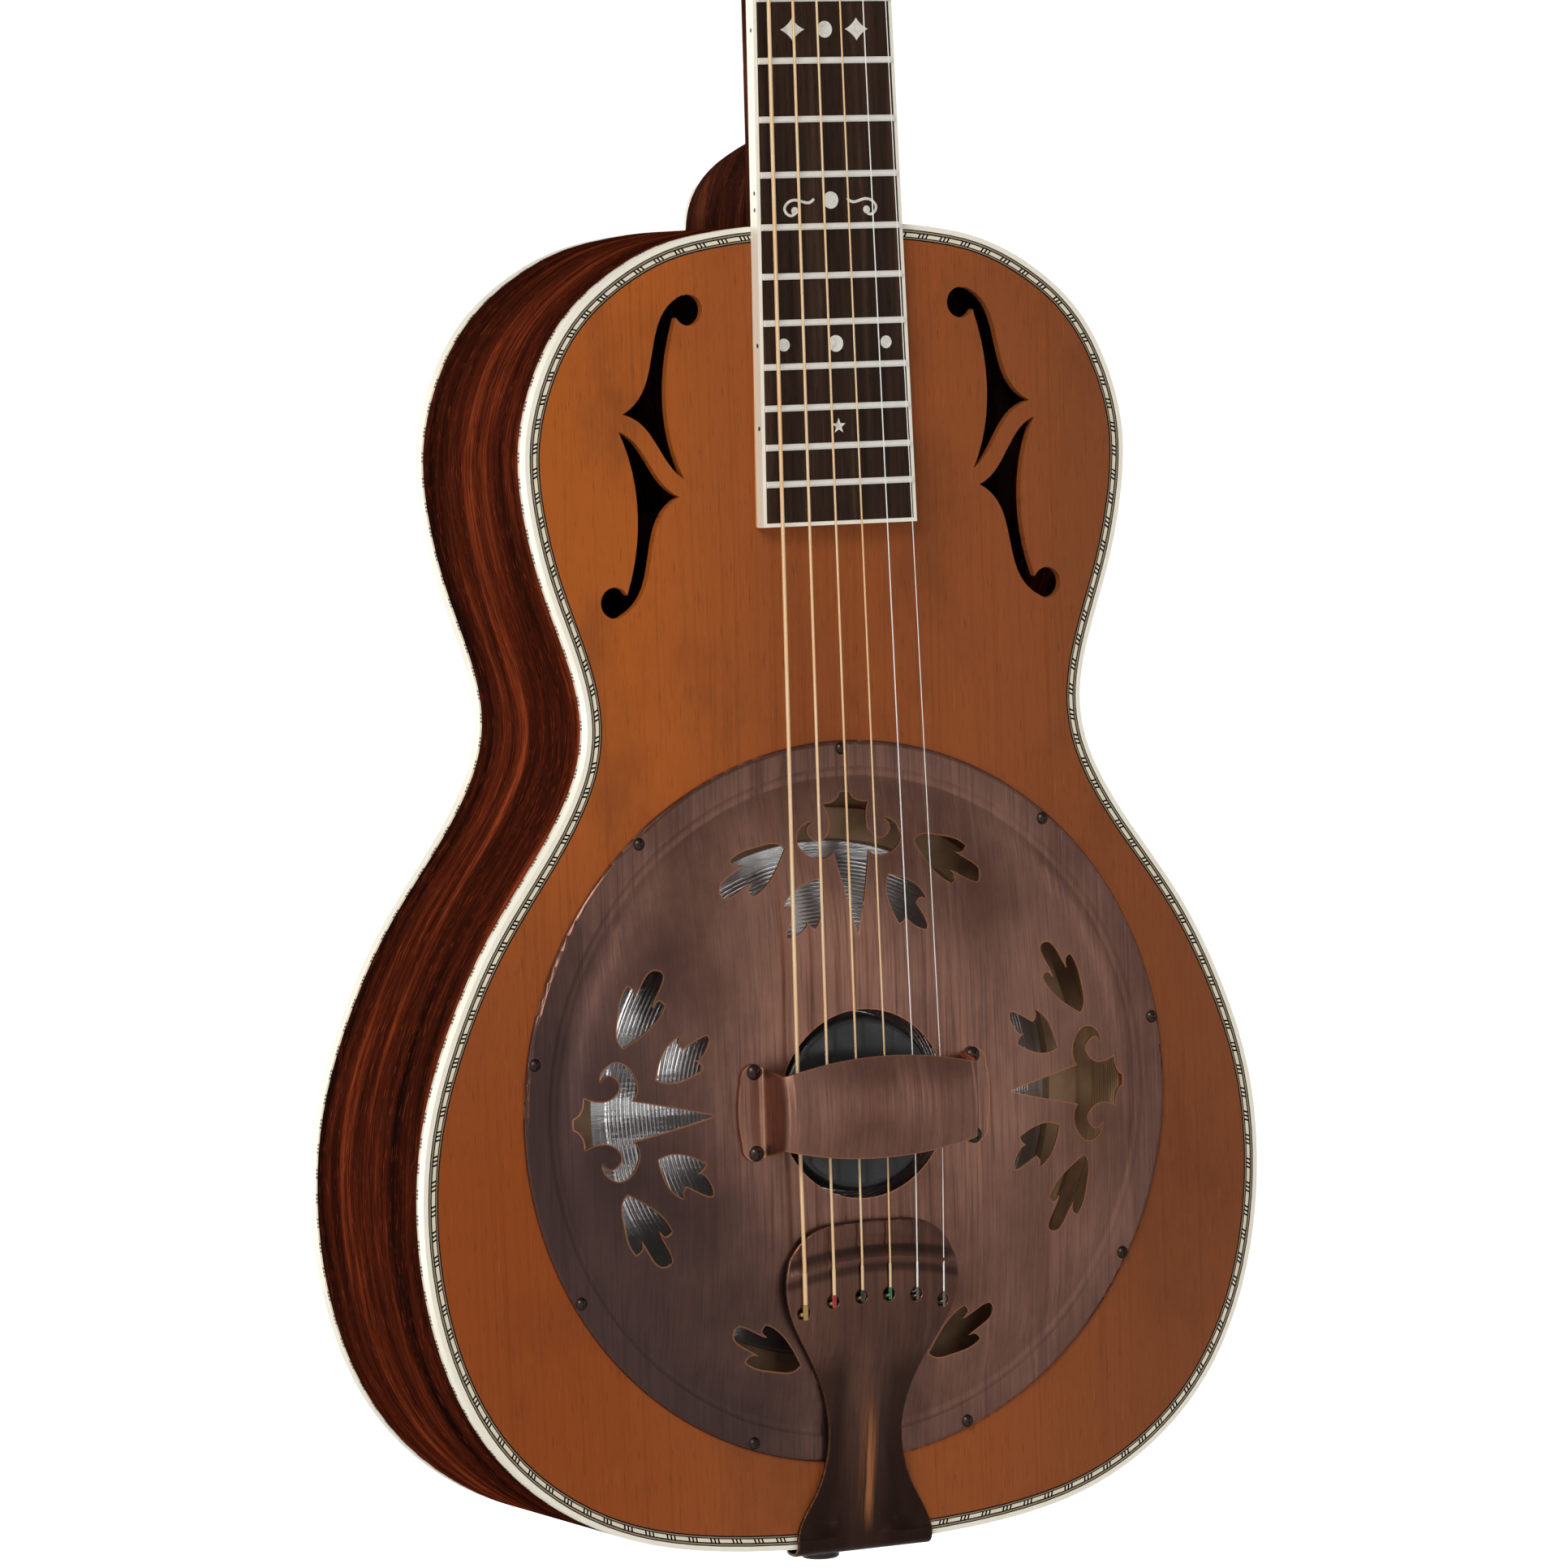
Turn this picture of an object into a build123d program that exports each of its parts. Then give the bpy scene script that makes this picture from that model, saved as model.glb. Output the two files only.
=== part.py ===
from build123d import *
import math
import os

# Wooden-bodied resonator guitar with one cone under a round coverplate. Millimetres.
#
# Model frame: x towards the treble side, y up the neck from the saddle line, and z out of the
# top, whose face is z = 0. The neck frame starts at fret 12, with z = 0 on the underside of the
# fingerboard, and the head frame starts behind the nut, with z = 0 on the face of the head.
# write() turns every node upright: +Z up the neck, front facing -Y, origin on the nut line.

# ---------------------------------------------------------------- driving dimensions
SCALE = 628.65                    # saddle line to nut
LAST_FRET = 18
TAIL_Y = -164.3                   # tail end of the body
NECK_END_Y = 315.3                # neck end of the body, on the centre line
DEPTH_AT_NECK = 90.6              # body depth at the neck end
BACK_SLOPE = 0.0228               # how fast the body deepens towards the tail
CENTRE_Y = -2.4                   # centre of cone and coverplate

# Half of the body's plan, from the tail round the treble side to the neck.
BODY_OUTLINE = [
    (0, TAIL_Y), (34, -163.4), (66, -160.2), (96, -152.8), (122.5, -139), (145, -118), (160.5, -91),
    (169, -60), (171.2, -33), (167.8, 0), (156.8, 33), (141, 63.5), (123.5, 88), (107.8, 112.3),
    (101, 133), (101.4, 147), (106.9, 167.5), (114.4, 188.7), (120.4, 214), (121.9, 236),
    (115.9, 261.6), (102.4, 284.2), (81.4, 301), (57, 311), (30, 314.9), (0, NECK_END_Y),
]

PLAN_STEPS = 48                   # points along half of an inset outline

# Wood thicknesses and edge trim
TOP_T = 3.2
BACK_T = 3.0
RIB_T = 2.3
BINDING_W = 1.8
BINDING_H = 4.6
PURFLING_W = 3.9                  # lines and marquetry inside the top binding
PURFLING_T = 1.5
SIDE_LINE_W = 1.0                 # dashed line let into the ribs beside each binding
SIDE_LINE_H = 1.5
LINING_W = 5.7
LINING_H = 11.0

NECK_BLOCK_HALF_W = 36.0
TAIL_BLOCK_HALF_W = 32.0

# Resonator
HOLE_R = 114.5                    # opening in the top, and inner wall of the soundwell
WELL_R = 124.0
WELL_FLOOR_Z = -24.0
WELL_FLOOR_T = 6.0
WELL_FLOOR_R = 84.0
LEDGE_R = (94.6, 106.0)           # raised seat ring round the cone
LEDGE_H = 3.5
CONE_R = 94.2
CONE_BODY_R = 88.0
CONE_TOP_R = 31.0
CONE_TOP_Z = -2.0
CONE_T = 0.6
BISCUIT_R = 32.0
BISCUIT_TOP_Z = 9.0

# Coverplate
COVER_R = 131.3
COVER_T = 0.9
COVER_HOLE_R = 34.3
COVER_LAND_R = 55.0               # flat land round the hole, which carries the palm rest
COVER_LAND_Z = 11.0
COVER_RIM_R = 122.0
COVER_RIM_Z = 1.5
COVER_SCREW_R = 128.5
COVER_SCREWS = 9
COVER_SCREW_SHANK_R = 1.3

# Palm rest
REST_HALF_LENGTH = 51.5
REST_FLANGE_HALF_W = 17.5
REST_WAIST_HALF_W = 13.3
REST_BARREL_HALF_W = 18.4
REST_BARREL_MID_W = 17.2          # half width midway to the wall
REST_WALL_X = 39.5
REST_TOP_Z = 29.0
REST_CROWN_R = 700.0              # radius of the top along the rest
REST_BARREL_DROP = 4.0            # how far the top falls at y = 22
REST_WALL_LEAN = 3.0
REST_BEND_R = 4.5
REST_FOOT_R = 2.2                 # where each wall meets its flange
REST_T = 1.1
REST_SCREW = (44.8, 14.7)
REST_SCREW_HEAD_R = 2.9

# Stations along the tailpiece: y, half width, height of the middle, height of the edges.
TAIL_STATIONS = [
    (-40, 35.0, 14.6, 12.8), (-58, 35.2, 15.6, 13.6), (-76, 34.0, 15.4, 13.3), (-92, 25.5, 12.8, 10.2),
    (-106, 18.4, 9.4, 7.0), (-120, 15.2, 7.0, 5.1), (-140, 18.4, 4.6, 3.3), (-161, 27.6, 2.6, 2.3),
]
TAIL_T = 1.4
TAB_FACE_Y = -166.6               # outer face of the part that turns down over the end
TAB_LOW_Z = -47.0
TAB_HALF_W = 27.6
PIN_Z = -34.0
PIN_R = 7.0
STRING_HOLE_R = 2.3
STRING_HOLE_Y = [-76.0, -72.8, -71.7, -71.7, -72.8, -76.0]

# Neck, fingerboard and head
NECK_SET = 0.6875                 # degrees the neck leans back
BOARD_LIFT = 0.2                  # underside of the board above the top at the body's end
BOARD_T = 6.4
BOARD_CROWN_R = 400.0
BOARD_END_Y = 207.0
NUT_HALF_W = 24.2
BOARD_END_HALF_W = 31.3
BOARD_BINDING_T = 1.4
MARKED_FRETS = [3, 5, 7, 9, 12, 15, 17]
FRET_W = 2.3
FRET_H = 1.1
NUT_T = 5.0
NECK_DEPTH = 15.0
NECK_DEPTH_AT_HEEL = 17.5
HEAD_ANGLE = 14.0
HEAD_T = 16.0
VENEER_T = 2.0
HEAD_LENGTH = 176.0

# Strings: radius, from the bass side to the treble side
STRING_R = [0.71, 0.53, 0.41, 0.33, 0.22, 0.17]
BALL_R = 1.5                      # ball end
STRING_NAMES = ["low_e", "a", "d", "g", "b", "high_e"]
SADDLE_PITCH = 11.76
NUT_PITCH = 8.14
TAIL_PITCH = 11.4
SADDLE_STRING_Z = 17.3
SADDLE_T = 3.2
NOTCH_GAP = 0.1                   # round a string in its saddle notch
NUT_STRING_Z = 7.95               # neck frame

# Tuners, in the head frame
TUNER_Y = [46, 82, 118]
POST_X = 22.0
POST_R = 3.1
POST_HOLE_R = 3.2
POST_TOP_Z = 15.0
GEAR_TEETH = 14
GEAR_ROOT_R = 5.2
GEAR_TIP_R = 6.6
GEAR_Z = (-21.2, -18.2)
WORM_OFFSET = 9.6                 # from the post's axis towards the nut
WORM_R = 2.7
WORM_Z = -19.7
SHAFT_R = 1.7
SHAFT_HOLE_R = 1.75
PLATE_T = 1.0

SCRATCH = 400.0                   # larger than any part it cuts

NECK = Pos(0, SCALE / 2, BOARD_LIFT) * Rot(-NECK_SET, 0, 0)
NUT_Y = SCALE / 2                 # neck frame
HEAD = NECK * Pos(0, NUT_Y + NUT_T, 0) * Rot(-HEAD_ANGLE, 0, 0)
UPRIGHT = Pos(0, 0, -SCALE) * Rot(90, 0, 0)


# ---------------------------------------------------------------- helpers
def write(node, *solids):
    """Turns a node upright and writes its STEP file."""
    flat = [s for shape in solids for s in shape.solids()]
    turned = [UPRIGHT * s for s in flat]
    shape = turned[0] if len(turned) == 1 else Compound(children=turned)
    shape.label = node
    export_step(shape, f"parts/{node}.step")


def prism(face, low, high):
    """A face of the model's xy plane, standing from z = low to z = high."""
    return Pos(0, 0, low) * extrude(face, amount=high - low, dir=(0, 0, 1))


def rod(radius, low, high, x=0.0, y=0.0):
    """An upright cylinder from z = low to z = high."""
    return Pos(x, y, (low + high) / 2) * Cylinder(radius, high - low)


def block(x, y, z):
    """A box between three pairs of limits."""
    size = (x[1] - x[0], y[1] - y[0], z[1] - z[0])
    return Pos((x[0] + x[1]) / 2, (y[0] + y[1]) / 2, (z[0] + z[1]) / 2) * Box(*size)


def half_outline(inset=0.0, side=1):
    """Half of the body's outline, moved inwards, on the treble (1) or bass (-1) side."""
    half = Spline(*BODY_OUTLINE, tangents=[(1, 0), (-1, 0)])
    steps = [k / PLAN_STEPS for k in range(PLAN_STEPS + 1)]
    points = [half @ t + Vector(-(half % t).Y, (half % t).X) * inset for t in steps]
    return Spline(*[(side * p.X, p.Y) for p in points], tangents=[(side, 0), (-side, 0)])


def plan(inset=0.0):
    """The body's plan, moved inwards by inset."""
    return make_face([half_outline(inset), half_outline(inset, -1)])


def half_band(outer, inner, side):
    """One side of the strip of plan between two insets."""
    out_edge, in_edge = half_outline(outer, side), half_outline(inner, side)
    ends = [Line(out_edge @ t, in_edge @ t) for t in (0, 1)]
    return make_face([out_edge, in_edge, *ends])


def band_prisms(outer, inner, low, high):
    """Both sides of a strip of plan, standing from z = low to z = high."""
    return [prism(half_band(outer, inner, side), low, high) for side in (-1, 1)]


def back_slab(low, high):
    """A slab parallel to the back, between two heights above its outer face."""
    base = Plane(origin=(0, NECK_END_Y, -DEPTH_AT_NECK), x_dir=(1, 0, 0), z_dir=(0, -BACK_SLOPE, 1))
    return base.location * block((-SCRATCH, SCRATCH), (-2 * SCRATCH, SCRATCH), (low, high))


def both(shape):
    """A shape and its mirror image on the other side."""
    return [shape, mirror(shape, about=Plane.YZ)]


def cross_screw(head_r, head_h, shank_r, length):
    """A domed cross-head screw with the underside of its head at z = 0, pointing down."""
    dome_r = (head_r * head_r + head_h * head_h) / (2 * head_h) + 0.01
    head = rod(head_r, 0, head_h) & Pos(0, 0, head_h - dome_r) * Sphere(dome_r)
    slot = Pos(0, 0, head_h) * Box(head_r * 1.1, head_r * 0.26, head_h * 0.7)
    head = head - slot - Rot(0, 0, 90) * slot
    return head + rod(shank_r, -length, 0)


# ---------------------------------------------------------------- body
def f_hole():
    """The two halves of the treble side's f-hole, as faces."""
    upper_eye = Pos(55.5, 285.8) * Circle(5.6)
    upper = make_face([
        Spline((57.5, 291.4), (66.3, 284), (71.8, 265), (83, 249.3)),
        Spline((83, 249.3), (72, 241.5), (67.5, 234.5), (59, 225.3)),
        Spline((59, 225.3), (64.3, 241), (65.3, 260), (60.5, 283)),
        Line((60.5, 283), (57.5, 291.4)),
    ])
    lower_eye = Pos(88.3, 182.4) * Circle(5.6)
    lower = make_face([
        Spline((84.8, 243.3), (79.3, 226), (78.6, 205), (83.5, 184.5)),
        Line((83.5, 184.5), (86.5, 177.2)),
        Spline((86.5, 177.2), (75.5, 189), (71.3, 207), (61.3, 219.3)),
        Spline((61.3, 219.3), (71.5, 229), (76.3, 236.5), (84.8, 243.3)),
    ])
    return upper_eye + upper, lower_eye + lower


def cover_screw_places():
    turns = [math.radians(90 + 360 / COVER_SCREWS * k) for k in range(COVER_SCREWS)]
    return [(COVER_SCREW_R * math.cos(a), CENTRE_Y + COVER_SCREW_R * math.sin(a)) for a in turns]


def soundboard():
    board = prism(plan(BINDING_W), -TOP_T, 0)
    for strip in band_prisms(0, BINDING_W + PURFLING_W, -PURFLING_T, 1):
        board -= strip
    board -= rod(HOLE_R, -TOP_T - 1, 1, 0, CENTRE_Y)
    for half in f_hole():
        for hole in both(prism(half, -TOP_T - 1, 1)):
            board -= hole
    for x, y in cover_screw_places():
        board -= rod(COVER_SCREW_SHANK_R, -TOP_T - 1, 1, x, y)
    return board


def rib(side):
    """One bent side, rebated for the bindings and for the lines beside them."""
    def strip(inner, low, high):
        return prism(half_band(-5, inner, side), low, high)
    deep = -2 * DEPTH_AT_NECK
    wall = prism(half_band(0, RIB_T, side), deep, -TOP_T) & back_slab(BACK_T, SCRATCH)
    wall -= strip(BINDING_W, -BINDING_H, 5)
    wall -= strip(BINDING_W, deep, 0) & back_slab(-20, BINDING_H)
    wall -= strip(SIDE_LINE_W, -BINDING_H - SIDE_LINE_H, 0)
    wall -= strip(SIDE_LINE_W, deep, 0) & back_slab(-20, BINDING_H + SIDE_LINE_H)
    return wall - tenon() - end_pin()


def side_lines():
    deep = -2 * DEPTH_AT_NECK
    back = back_slab(BINDING_H, BINDING_H + SIDE_LINE_H)
    top_lines = band_prisms(0, SIDE_LINE_W, -BINDING_H - SIDE_LINE_H, -BINDING_H)
    return top_lines + [strip & back for strip in band_prisms(0, SIDE_LINE_W, deep, -BINDING_H)]


def tenon():
    """The tongue of the neck that is glued into the neck block."""
    return block((-12, 12), (286, NECK_END_Y + 3), (-72, -BINDING_H - SIDE_LINE_H - 2))


def linings(slab):
    """The strips glued inside the ribs, stopped at the blocks."""
    neck_gap = block((-NECK_BLOCK_HALF_W, NECK_BLOCK_HALF_W), (250, 330), (-SCRATCH, 10))
    tail_gap = block((-TAIL_BLOCK_HALF_W, TAIL_BLOCK_HALF_W), (-180, -130), (-SCRATCH, 10))
    strips = band_prisms(RIB_T, RIB_T + LINING_W, -2 * DEPTH_AT_NECK, -TOP_T)
    return [(strip & slab) - neck_gap - tail_gap for strip in strips]


def blocks():
    inside = prism(plan(RIB_T), -2 * DEPTH_AT_NECK, -TOP_T) & back_slab(BACK_T, SCRATCH)
    neck_block = inside & block((-NECK_BLOCK_HALF_W, NECK_BLOCK_HALF_W), (268, 330), (-SCRATCH, 10))
    tail_block = inside & block((-TAIL_BLOCK_HALF_W, TAIL_BLOCK_HALF_W), (-180, -142), (-SCRATCH, 10))
    return neck_block - tenon(), tail_block - end_pin()


def braces():
    """Cross bars under the top and on the back, trimmed to end at the linings."""
    room = prism(plan(RIB_T + LINING_W), -2 * DEPTH_AT_NECK, -TOP_T)
    top = [room & block((-120, 120), (y - 5, y + 5), (-TOP_T - 12, -TOP_T)) for y in (136, 164)]
    for x in (-42, 42):
        top.append(block((x - 4, x + 4), (171, 262), (-TOP_T - 10, -TOP_T)))
    back = []
    for y in (-112, -50, 40, 122, 206):
        bar = block((-200, 200), (y - 6, y + 6), (-SCRATCH, 0)) & back_slab(BACK_T, BACK_T + 13)
        back.append(bar & room)
    return top, back


# ---------------------------------------------------------------- resonator
def soundwell():
    floor_low = WELL_FLOOR_Z - WELL_FLOOR_T
    wall = rod(WELL_R, floor_low, -TOP_T) - rod(HOLE_R, floor_low - 1, 0)
    floor = rod(HOLE_R, floor_low, WELL_FLOOR_Z) - rod(WELL_FLOOR_R, floor_low - 1, 0)
    ledge = rod(LEDGE_R[1], WELL_FLOOR_Z, WELL_FLOOR_Z + LEDGE_H) - rod(LEDGE_R[0], -SCRATCH, 0)
    well = wall + floor + ledge
    port = Rot(0, 90, 0) * Cylinder(7, 2 * WELL_R + 10)
    for turn in range(0, 180, 30):
        well -= Pos(0, 0, -13.5) * Rot(0, 0, turn + 15) * port
    return Pos(0, CENTRE_Y, 0) * well


def well_posts():
    room = back_slab(BACK_T, SCRATCH)
    low, high = -2 * DEPTH_AT_NECK, WELL_FLOOR_Z - WELL_FLOOR_T
    return [rod(8, low, high, x, CENTRE_Y + y) & room for x in (-74, 74) for y in (-70, 70)]


def cone():
    """A thin spun cone: flat top, straight flank and flat flange."""
    rim_z = WELL_FLOOR_Z + CONE_T
    top = [(1.6, CONE_TOP_Z), (CONE_TOP_R, CONE_TOP_Z), (CONE_BODY_R, rim_z), (CONE_R, rim_z)]
    under = [(r, z - CONE_T) for r, z in reversed(top)]
    profile = make_face(Plane.XZ * Polyline(*top, *under, close=True))
    return Pos(0, CENTRE_Y, 0) * revolve(profile, Axis.Z)


def biscuit():
    disc = rod(BISCUIT_R, CONE_TOP_Z, BISCUIT_TOP_Z)
    disc = fillet(disc.edges().group_by(Axis.Z)[-1], 3)
    slot = block((-31, 31), (-1.6 - CENTRE_Y, 1.6 - CENTRE_Y), (BISCUIT_TOP_Z - 2.5, SCRATCH))
    return Pos(0, CENTRE_Y, 0) * (disc - slot) - biscuit_screw()


def biscuit_screw():
    screw = Rot(180, 0, 0) * cross_screw(4.5, 2.4, 1.6, 8)
    return Pos(0, CENTRE_Y, CONE_TOP_Z - CONE_T) * screw


def saddle():
    """A maple strip in the biscuit, crowned like the fingerboard."""
    def crown(x):
        return SADDLE_STRING_Z + 0.3 - crown_drop(x)
    face = make_face([
        Line((-31, BISCUIT_TOP_Z - 2.5), (31, BISCUIT_TOP_Z - 2.5)),
        Line((31, BISCUIT_TOP_Z - 2.5), (31, crown(31))),
        ThreePointArc((31, crown(31)), (0, crown(0)), (-31, crown(31))),
        Line((-31, crown(31)), (-31, BISCUIT_TOP_Z - 2.5)),
    ])
    strip = extrude(Plane.XZ * face, amount=SADDLE_T / 2, both=True)
    for i, r in enumerate(STRING_R):
        x = (i - 2.5) * SADDLE_PITCH
        floor = SADDLE_STRING_Z - crown_drop(x) - r - NOTCH_GAP
        strip -= block((x - r - NOTCH_GAP, x + r + NOTCH_GAP), (-SADDLE_T, SADDLE_T), (floor, 30))
    return strip


# ---------------------------------------------------------------- coverplate
def torch_cutout():
    """The middle cut-out of a group, pointing up from the coverplate's centre."""
    half = [
        Line((0, 60.5), (0, 112.7)),
        Line((0, 112.7), (1.8, 112.6)),
        Spline((1.8, 112.6), (3.1, 110.6), (5.6, 109.2), (9.2, 108.8)),
        Spline((9.2, 108.8), (7.6, 104.5), (8.2, 98.8), (13.1, 95.4), (16.9, 98.5), (14.6, 102.6)),
        Spline((14.6, 102.6), (19.6, 100.3), (21.2, 96.0), (17.6, 91.0), (7.2, 91.4)),
        Spline((7.2, 91.4), (5.2, 82.3), (2.9, 72), (0, 60.5)),
    ]
    face = make_face(half)
    return face + mirror(face, about=Plane.YZ)


def outer_leaf():
    """The three-lobed leaf beside the torch's arms."""
    return make_face([
        Spline((26.4, 93.6), (28.5, 95.2), (37, 94.9), (44, 93.2), (48.2, 90.6)),
        Spline((48.2, 90.6), (46.5, 88.6), (43.2, 88.8)),
        Spline((43.2, 88.8), (49.5, 84.8), (53.2, 80.3), (52.4, 77.8), (47.5, 78.6), (40.2, 81.9)),
        Spline((40.2, 81.9), (42.2, 79.2), (40.6, 77.4)),
        Spline((40.6, 77.4), (36.8, 79.6), (31.5, 85.2), (26.4, 93.6)),
    ])


def inner_leaf():
    """The smaller leaf beside the torch's stem."""
    return make_face([
        Spline((14.4, 82.2), (20, 80.6), (25.5, 77.6), (29.2, 72.2)),
        Spline((29.2, 72.2), (27, 73.3), (24.6, 71.6)),
        Spline((24.6, 71.6), (27.2, 66.8), (28.6, 61.8), (24.6, 62.6), (20.4, 67.4)),
        Spline((20.4, 67.4), (19, 65.4), (17, 64.4)),
        Spline((17, 64.4), (14.4, 69.5), (13, 74.5), (14.4, 82.2)),
    ])


def cover_cutouts():
    group = [torch_cutout(), *both(outer_leaf()), *both(inner_leaf())]
    return [Rot(0, 0, turn) * prism(face, -2, 15) for turn in (0, 90, 180, 270) for face in group]


def cover_blank():
    """The coverplate before piercing: flat land, dome, shallow groove, rim and turned edge."""
    def skin(drop):
        return [
            Line((COVER_HOLE_R, COVER_LAND_Z - drop), (COVER_LAND_R, COVER_LAND_Z - drop)),
            Spline(
                (COVER_LAND_R, COVER_LAND_Z - drop), (80, 8.9 - drop), (100, 5.5 - drop),
                (113, 2.6 - drop), (118.5, 1.2 - drop), tangents=[(1, 0), (1, -0.1)],
            ),
            Spline((118.5, 1.2 - drop), (120.2, 1.15 - drop), (COVER_RIM_R, COVER_RIM_Z - drop)),
            Line((COVER_RIM_R, COVER_RIM_Z - drop), (COVER_R - 1.6, COVER_RIM_Z - drop)),
        ]
    low = COVER_RIM_Z - COVER_T
    edge = [
        ThreePointArc((COVER_R - 1.6, COVER_RIM_Z), (COVER_R - 0.5, COVER_RIM_Z - 0.4), (COVER_R, 0.1)),
        Line((COVER_R, 0.1), (COVER_R - 0.9, 0.1)),
        Line((COVER_R - 0.9, 0.1), (COVER_R - 1.6, low)),
    ]
    hole_edge = Line((COVER_HOLE_R, COVER_LAND_Z), (COVER_HOLE_R, COVER_LAND_Z - COVER_T))
    profile = make_face(Plane.XZ * Curve(children=[*skin(0), *skin(COVER_T), *edge, hole_edge]))
    return revolve(profile, Axis.Z)


def coverplate():
    plate = cover_blank()
    for hole in cover_cutouts():
        plate -= hole
    plate = Pos(0, CENTRE_Y, 0) * plate
    for x, y in cover_screw_places():
        plate -= rod(COVER_SCREW_SHANK_R, -1, 4, x, y)
    for x, y in rest_screw_places():
        plate -= rod(COVER_SCREW_SHANK_R, 5, 15, x, y)
    return plate


def coverplate_screws():
    screw = cross_screw(2.3, 1.5, COVER_SCREW_SHANK_R, 9)
    return [Pos(x, y, COVER_RIM_Z) * screw for x, y in cover_screw_places()]


# ---------------------------------------------------------------- palm rest
def rest_screw_places():
    x, y = REST_SCREW
    return [(i * x, CENTRE_Y + j * y) for i in (-1, 1) for j in (-1, 1)]


def rest_plan():
    """The palm rest from above: rounded flanges, a waist at each wall and a bulging barrel."""
    end, flange, waist = REST_HALF_LENGTH, REST_FLANGE_HALF_W, REST_WAIST_HALF_W
    quarter = [
        Line((0, 0), (end, 0)),
        ThreePointArc((end, 0), (end - 0.3, flange / 3), (end - 1.3, flange - 6)),
        ThreePointArc((end - 1.3, flange - 6), (end - 2.8, flange - 1.6), (end - 6.3, flange)),
        ThreePointArc((end - 6.3, flange), (REST_WALL_X + 2.4, flange - 1.3), (REST_WALL_X, waist)),
        ThreePointArc((REST_WALL_X, waist), (REST_WALL_X / 2, REST_BARREL_MID_W), (0, REST_BARREL_HALF_W)),
        Line((0, REST_BARREL_HALF_W), (0, 0)),
    ]
    face = make_face(quarter)
    face += mirror(face, about=Plane.XZ)
    return face + mirror(face, about=Plane.YZ)


def rest_hull(inset):
    """The solid bounded by the arch's outer skin, moved inwards by inset."""
    x, top, low = REST_WALL_X + 2.2 - inset, REST_TOP_Z - inset, COVER_LAND_Z - 1
    walls = make_face(Polyline(
        (-x, low), (x, low), (x - REST_WALL_LEAN, top + 2), (REST_WALL_LEAN - x, top + 2), close=True
    ))
    walls = extrude(Plane.XZ * walls, amount=22, both=True)
    crown = REST_CROWN_R - inset
    dome = make_face([
        Line((-22, low - 20), (22, low - 20)),
        Line((22, low - 20), (22, top - REST_BARREL_DROP)),
        ThreePointArc((22, top - REST_BARREL_DROP), (0, top), (-22, top - REST_BARREL_DROP)),
        Line((-22, top - REST_BARREL_DROP), (-22, low - 20)),
    ])
    lean = math.degrees(REST_HALF_LENGTH / crown)
    axis = Axis((0, 0, top - crown), (0, 1, 0))
    barrel = revolve((Plane.YZ * dome).rotate(axis, -lean), axis, 2 * lean)
    hull = walls & barrel
    bends = [e for e in hull.edges() if abs(e.center().X) > 30 and e.center().Z > top - 6
             and abs(e.center().Y) < 1]
    return fillet(bends, REST_BEND_R - inset)


def palm_rest():
    high = COVER_LAND_Z + REST_T
    arch = rest_hull(0) - rest_hull(REST_T)
    span = REST_WALL_X + 1
    flange = prism(rest_plan(), COVER_LAND_Z, high) - block((-span, span), (-30, 30), (0, 40))
    arch &= prism(rest_plan(), COVER_LAND_Z, REST_TOP_Z + 1)
    rest = arch + flange
    feet = [e for e in rest.edges() if abs(e.center().Z - high) < 0.01 and e.length > 20
            and REST_WALL_X + 1 < abs(e.center().X) < REST_WALL_X + 3]
    rest = Pos(0, CENTRE_Y, 0) * fillet(feet, REST_FOOT_R)
    for x, y in rest_screw_places():
        rest -= rod(COVER_SCREW_SHANK_R, 5, 15, x, y)
        rest -= rod(REST_SCREW_HEAD_R + 0.1, high, 20, x, y)
    return rest


def palm_rest_screws():
    screw = cross_screw(REST_SCREW_HEAD_R, 1.8, COVER_SCREW_SHANK_R, 7)
    return [Pos(x, y, COVER_LAND_Z + REST_T) * screw for x, y in rest_screw_places()]


# ---------------------------------------------------------------- tailpiece
def tail_section(y, half_w, middle, edge):
    """One arched cross-section, drawn wider than the plan that trims it."""
    grow = 1.25
    wide, low = half_w * grow, middle - (middle - edge) * grow * grow
    under = -TAIL_T
    wire = Wire([
        ThreePointArc((-wide, low), (0, middle), (wide, low)).edge(),
        Line((wide, low), (wide, low + under)).edge(),
        ThreePointArc((wide, low + under), (0, middle + under), (-wide, low + under)).edge(),
        Line((-wide, low + under), (-wide, low)).edge(),
    ])
    return Plane(origin=(0, y, 0), x_dir=(1, 0, 0), z_dir=(0, -1, 0)) * Face(wire)


def tail_plan():
    """The tailpiece from above: broad rounded head, waisted stem and flared foot."""
    half = [
        Line((0, -165), (0, -44.4)),
        Line((0, -44.4), (14, -45.0)),
        ThreePointArc((14, -45.0), (29.5, -51.5), (35.2, -65)),
        Spline(
            (35.2, -65), (34.9, -71), (33.4, -77), (25.4, -92), (18.4, -106), (15.2, -120),
            (16.4, -134), (20.0, -144), (24.6, -152), (27.0, -157.6), (TAB_HALF_W, -160),
        ),
        Line((TAB_HALF_W, -160), (TAB_HALF_W, -165)),
        Line((TAB_HALF_W, -165), (0, -165)),
    ]
    face = make_face(half)
    return face + mirror(face, about=Plane.YZ)


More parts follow.
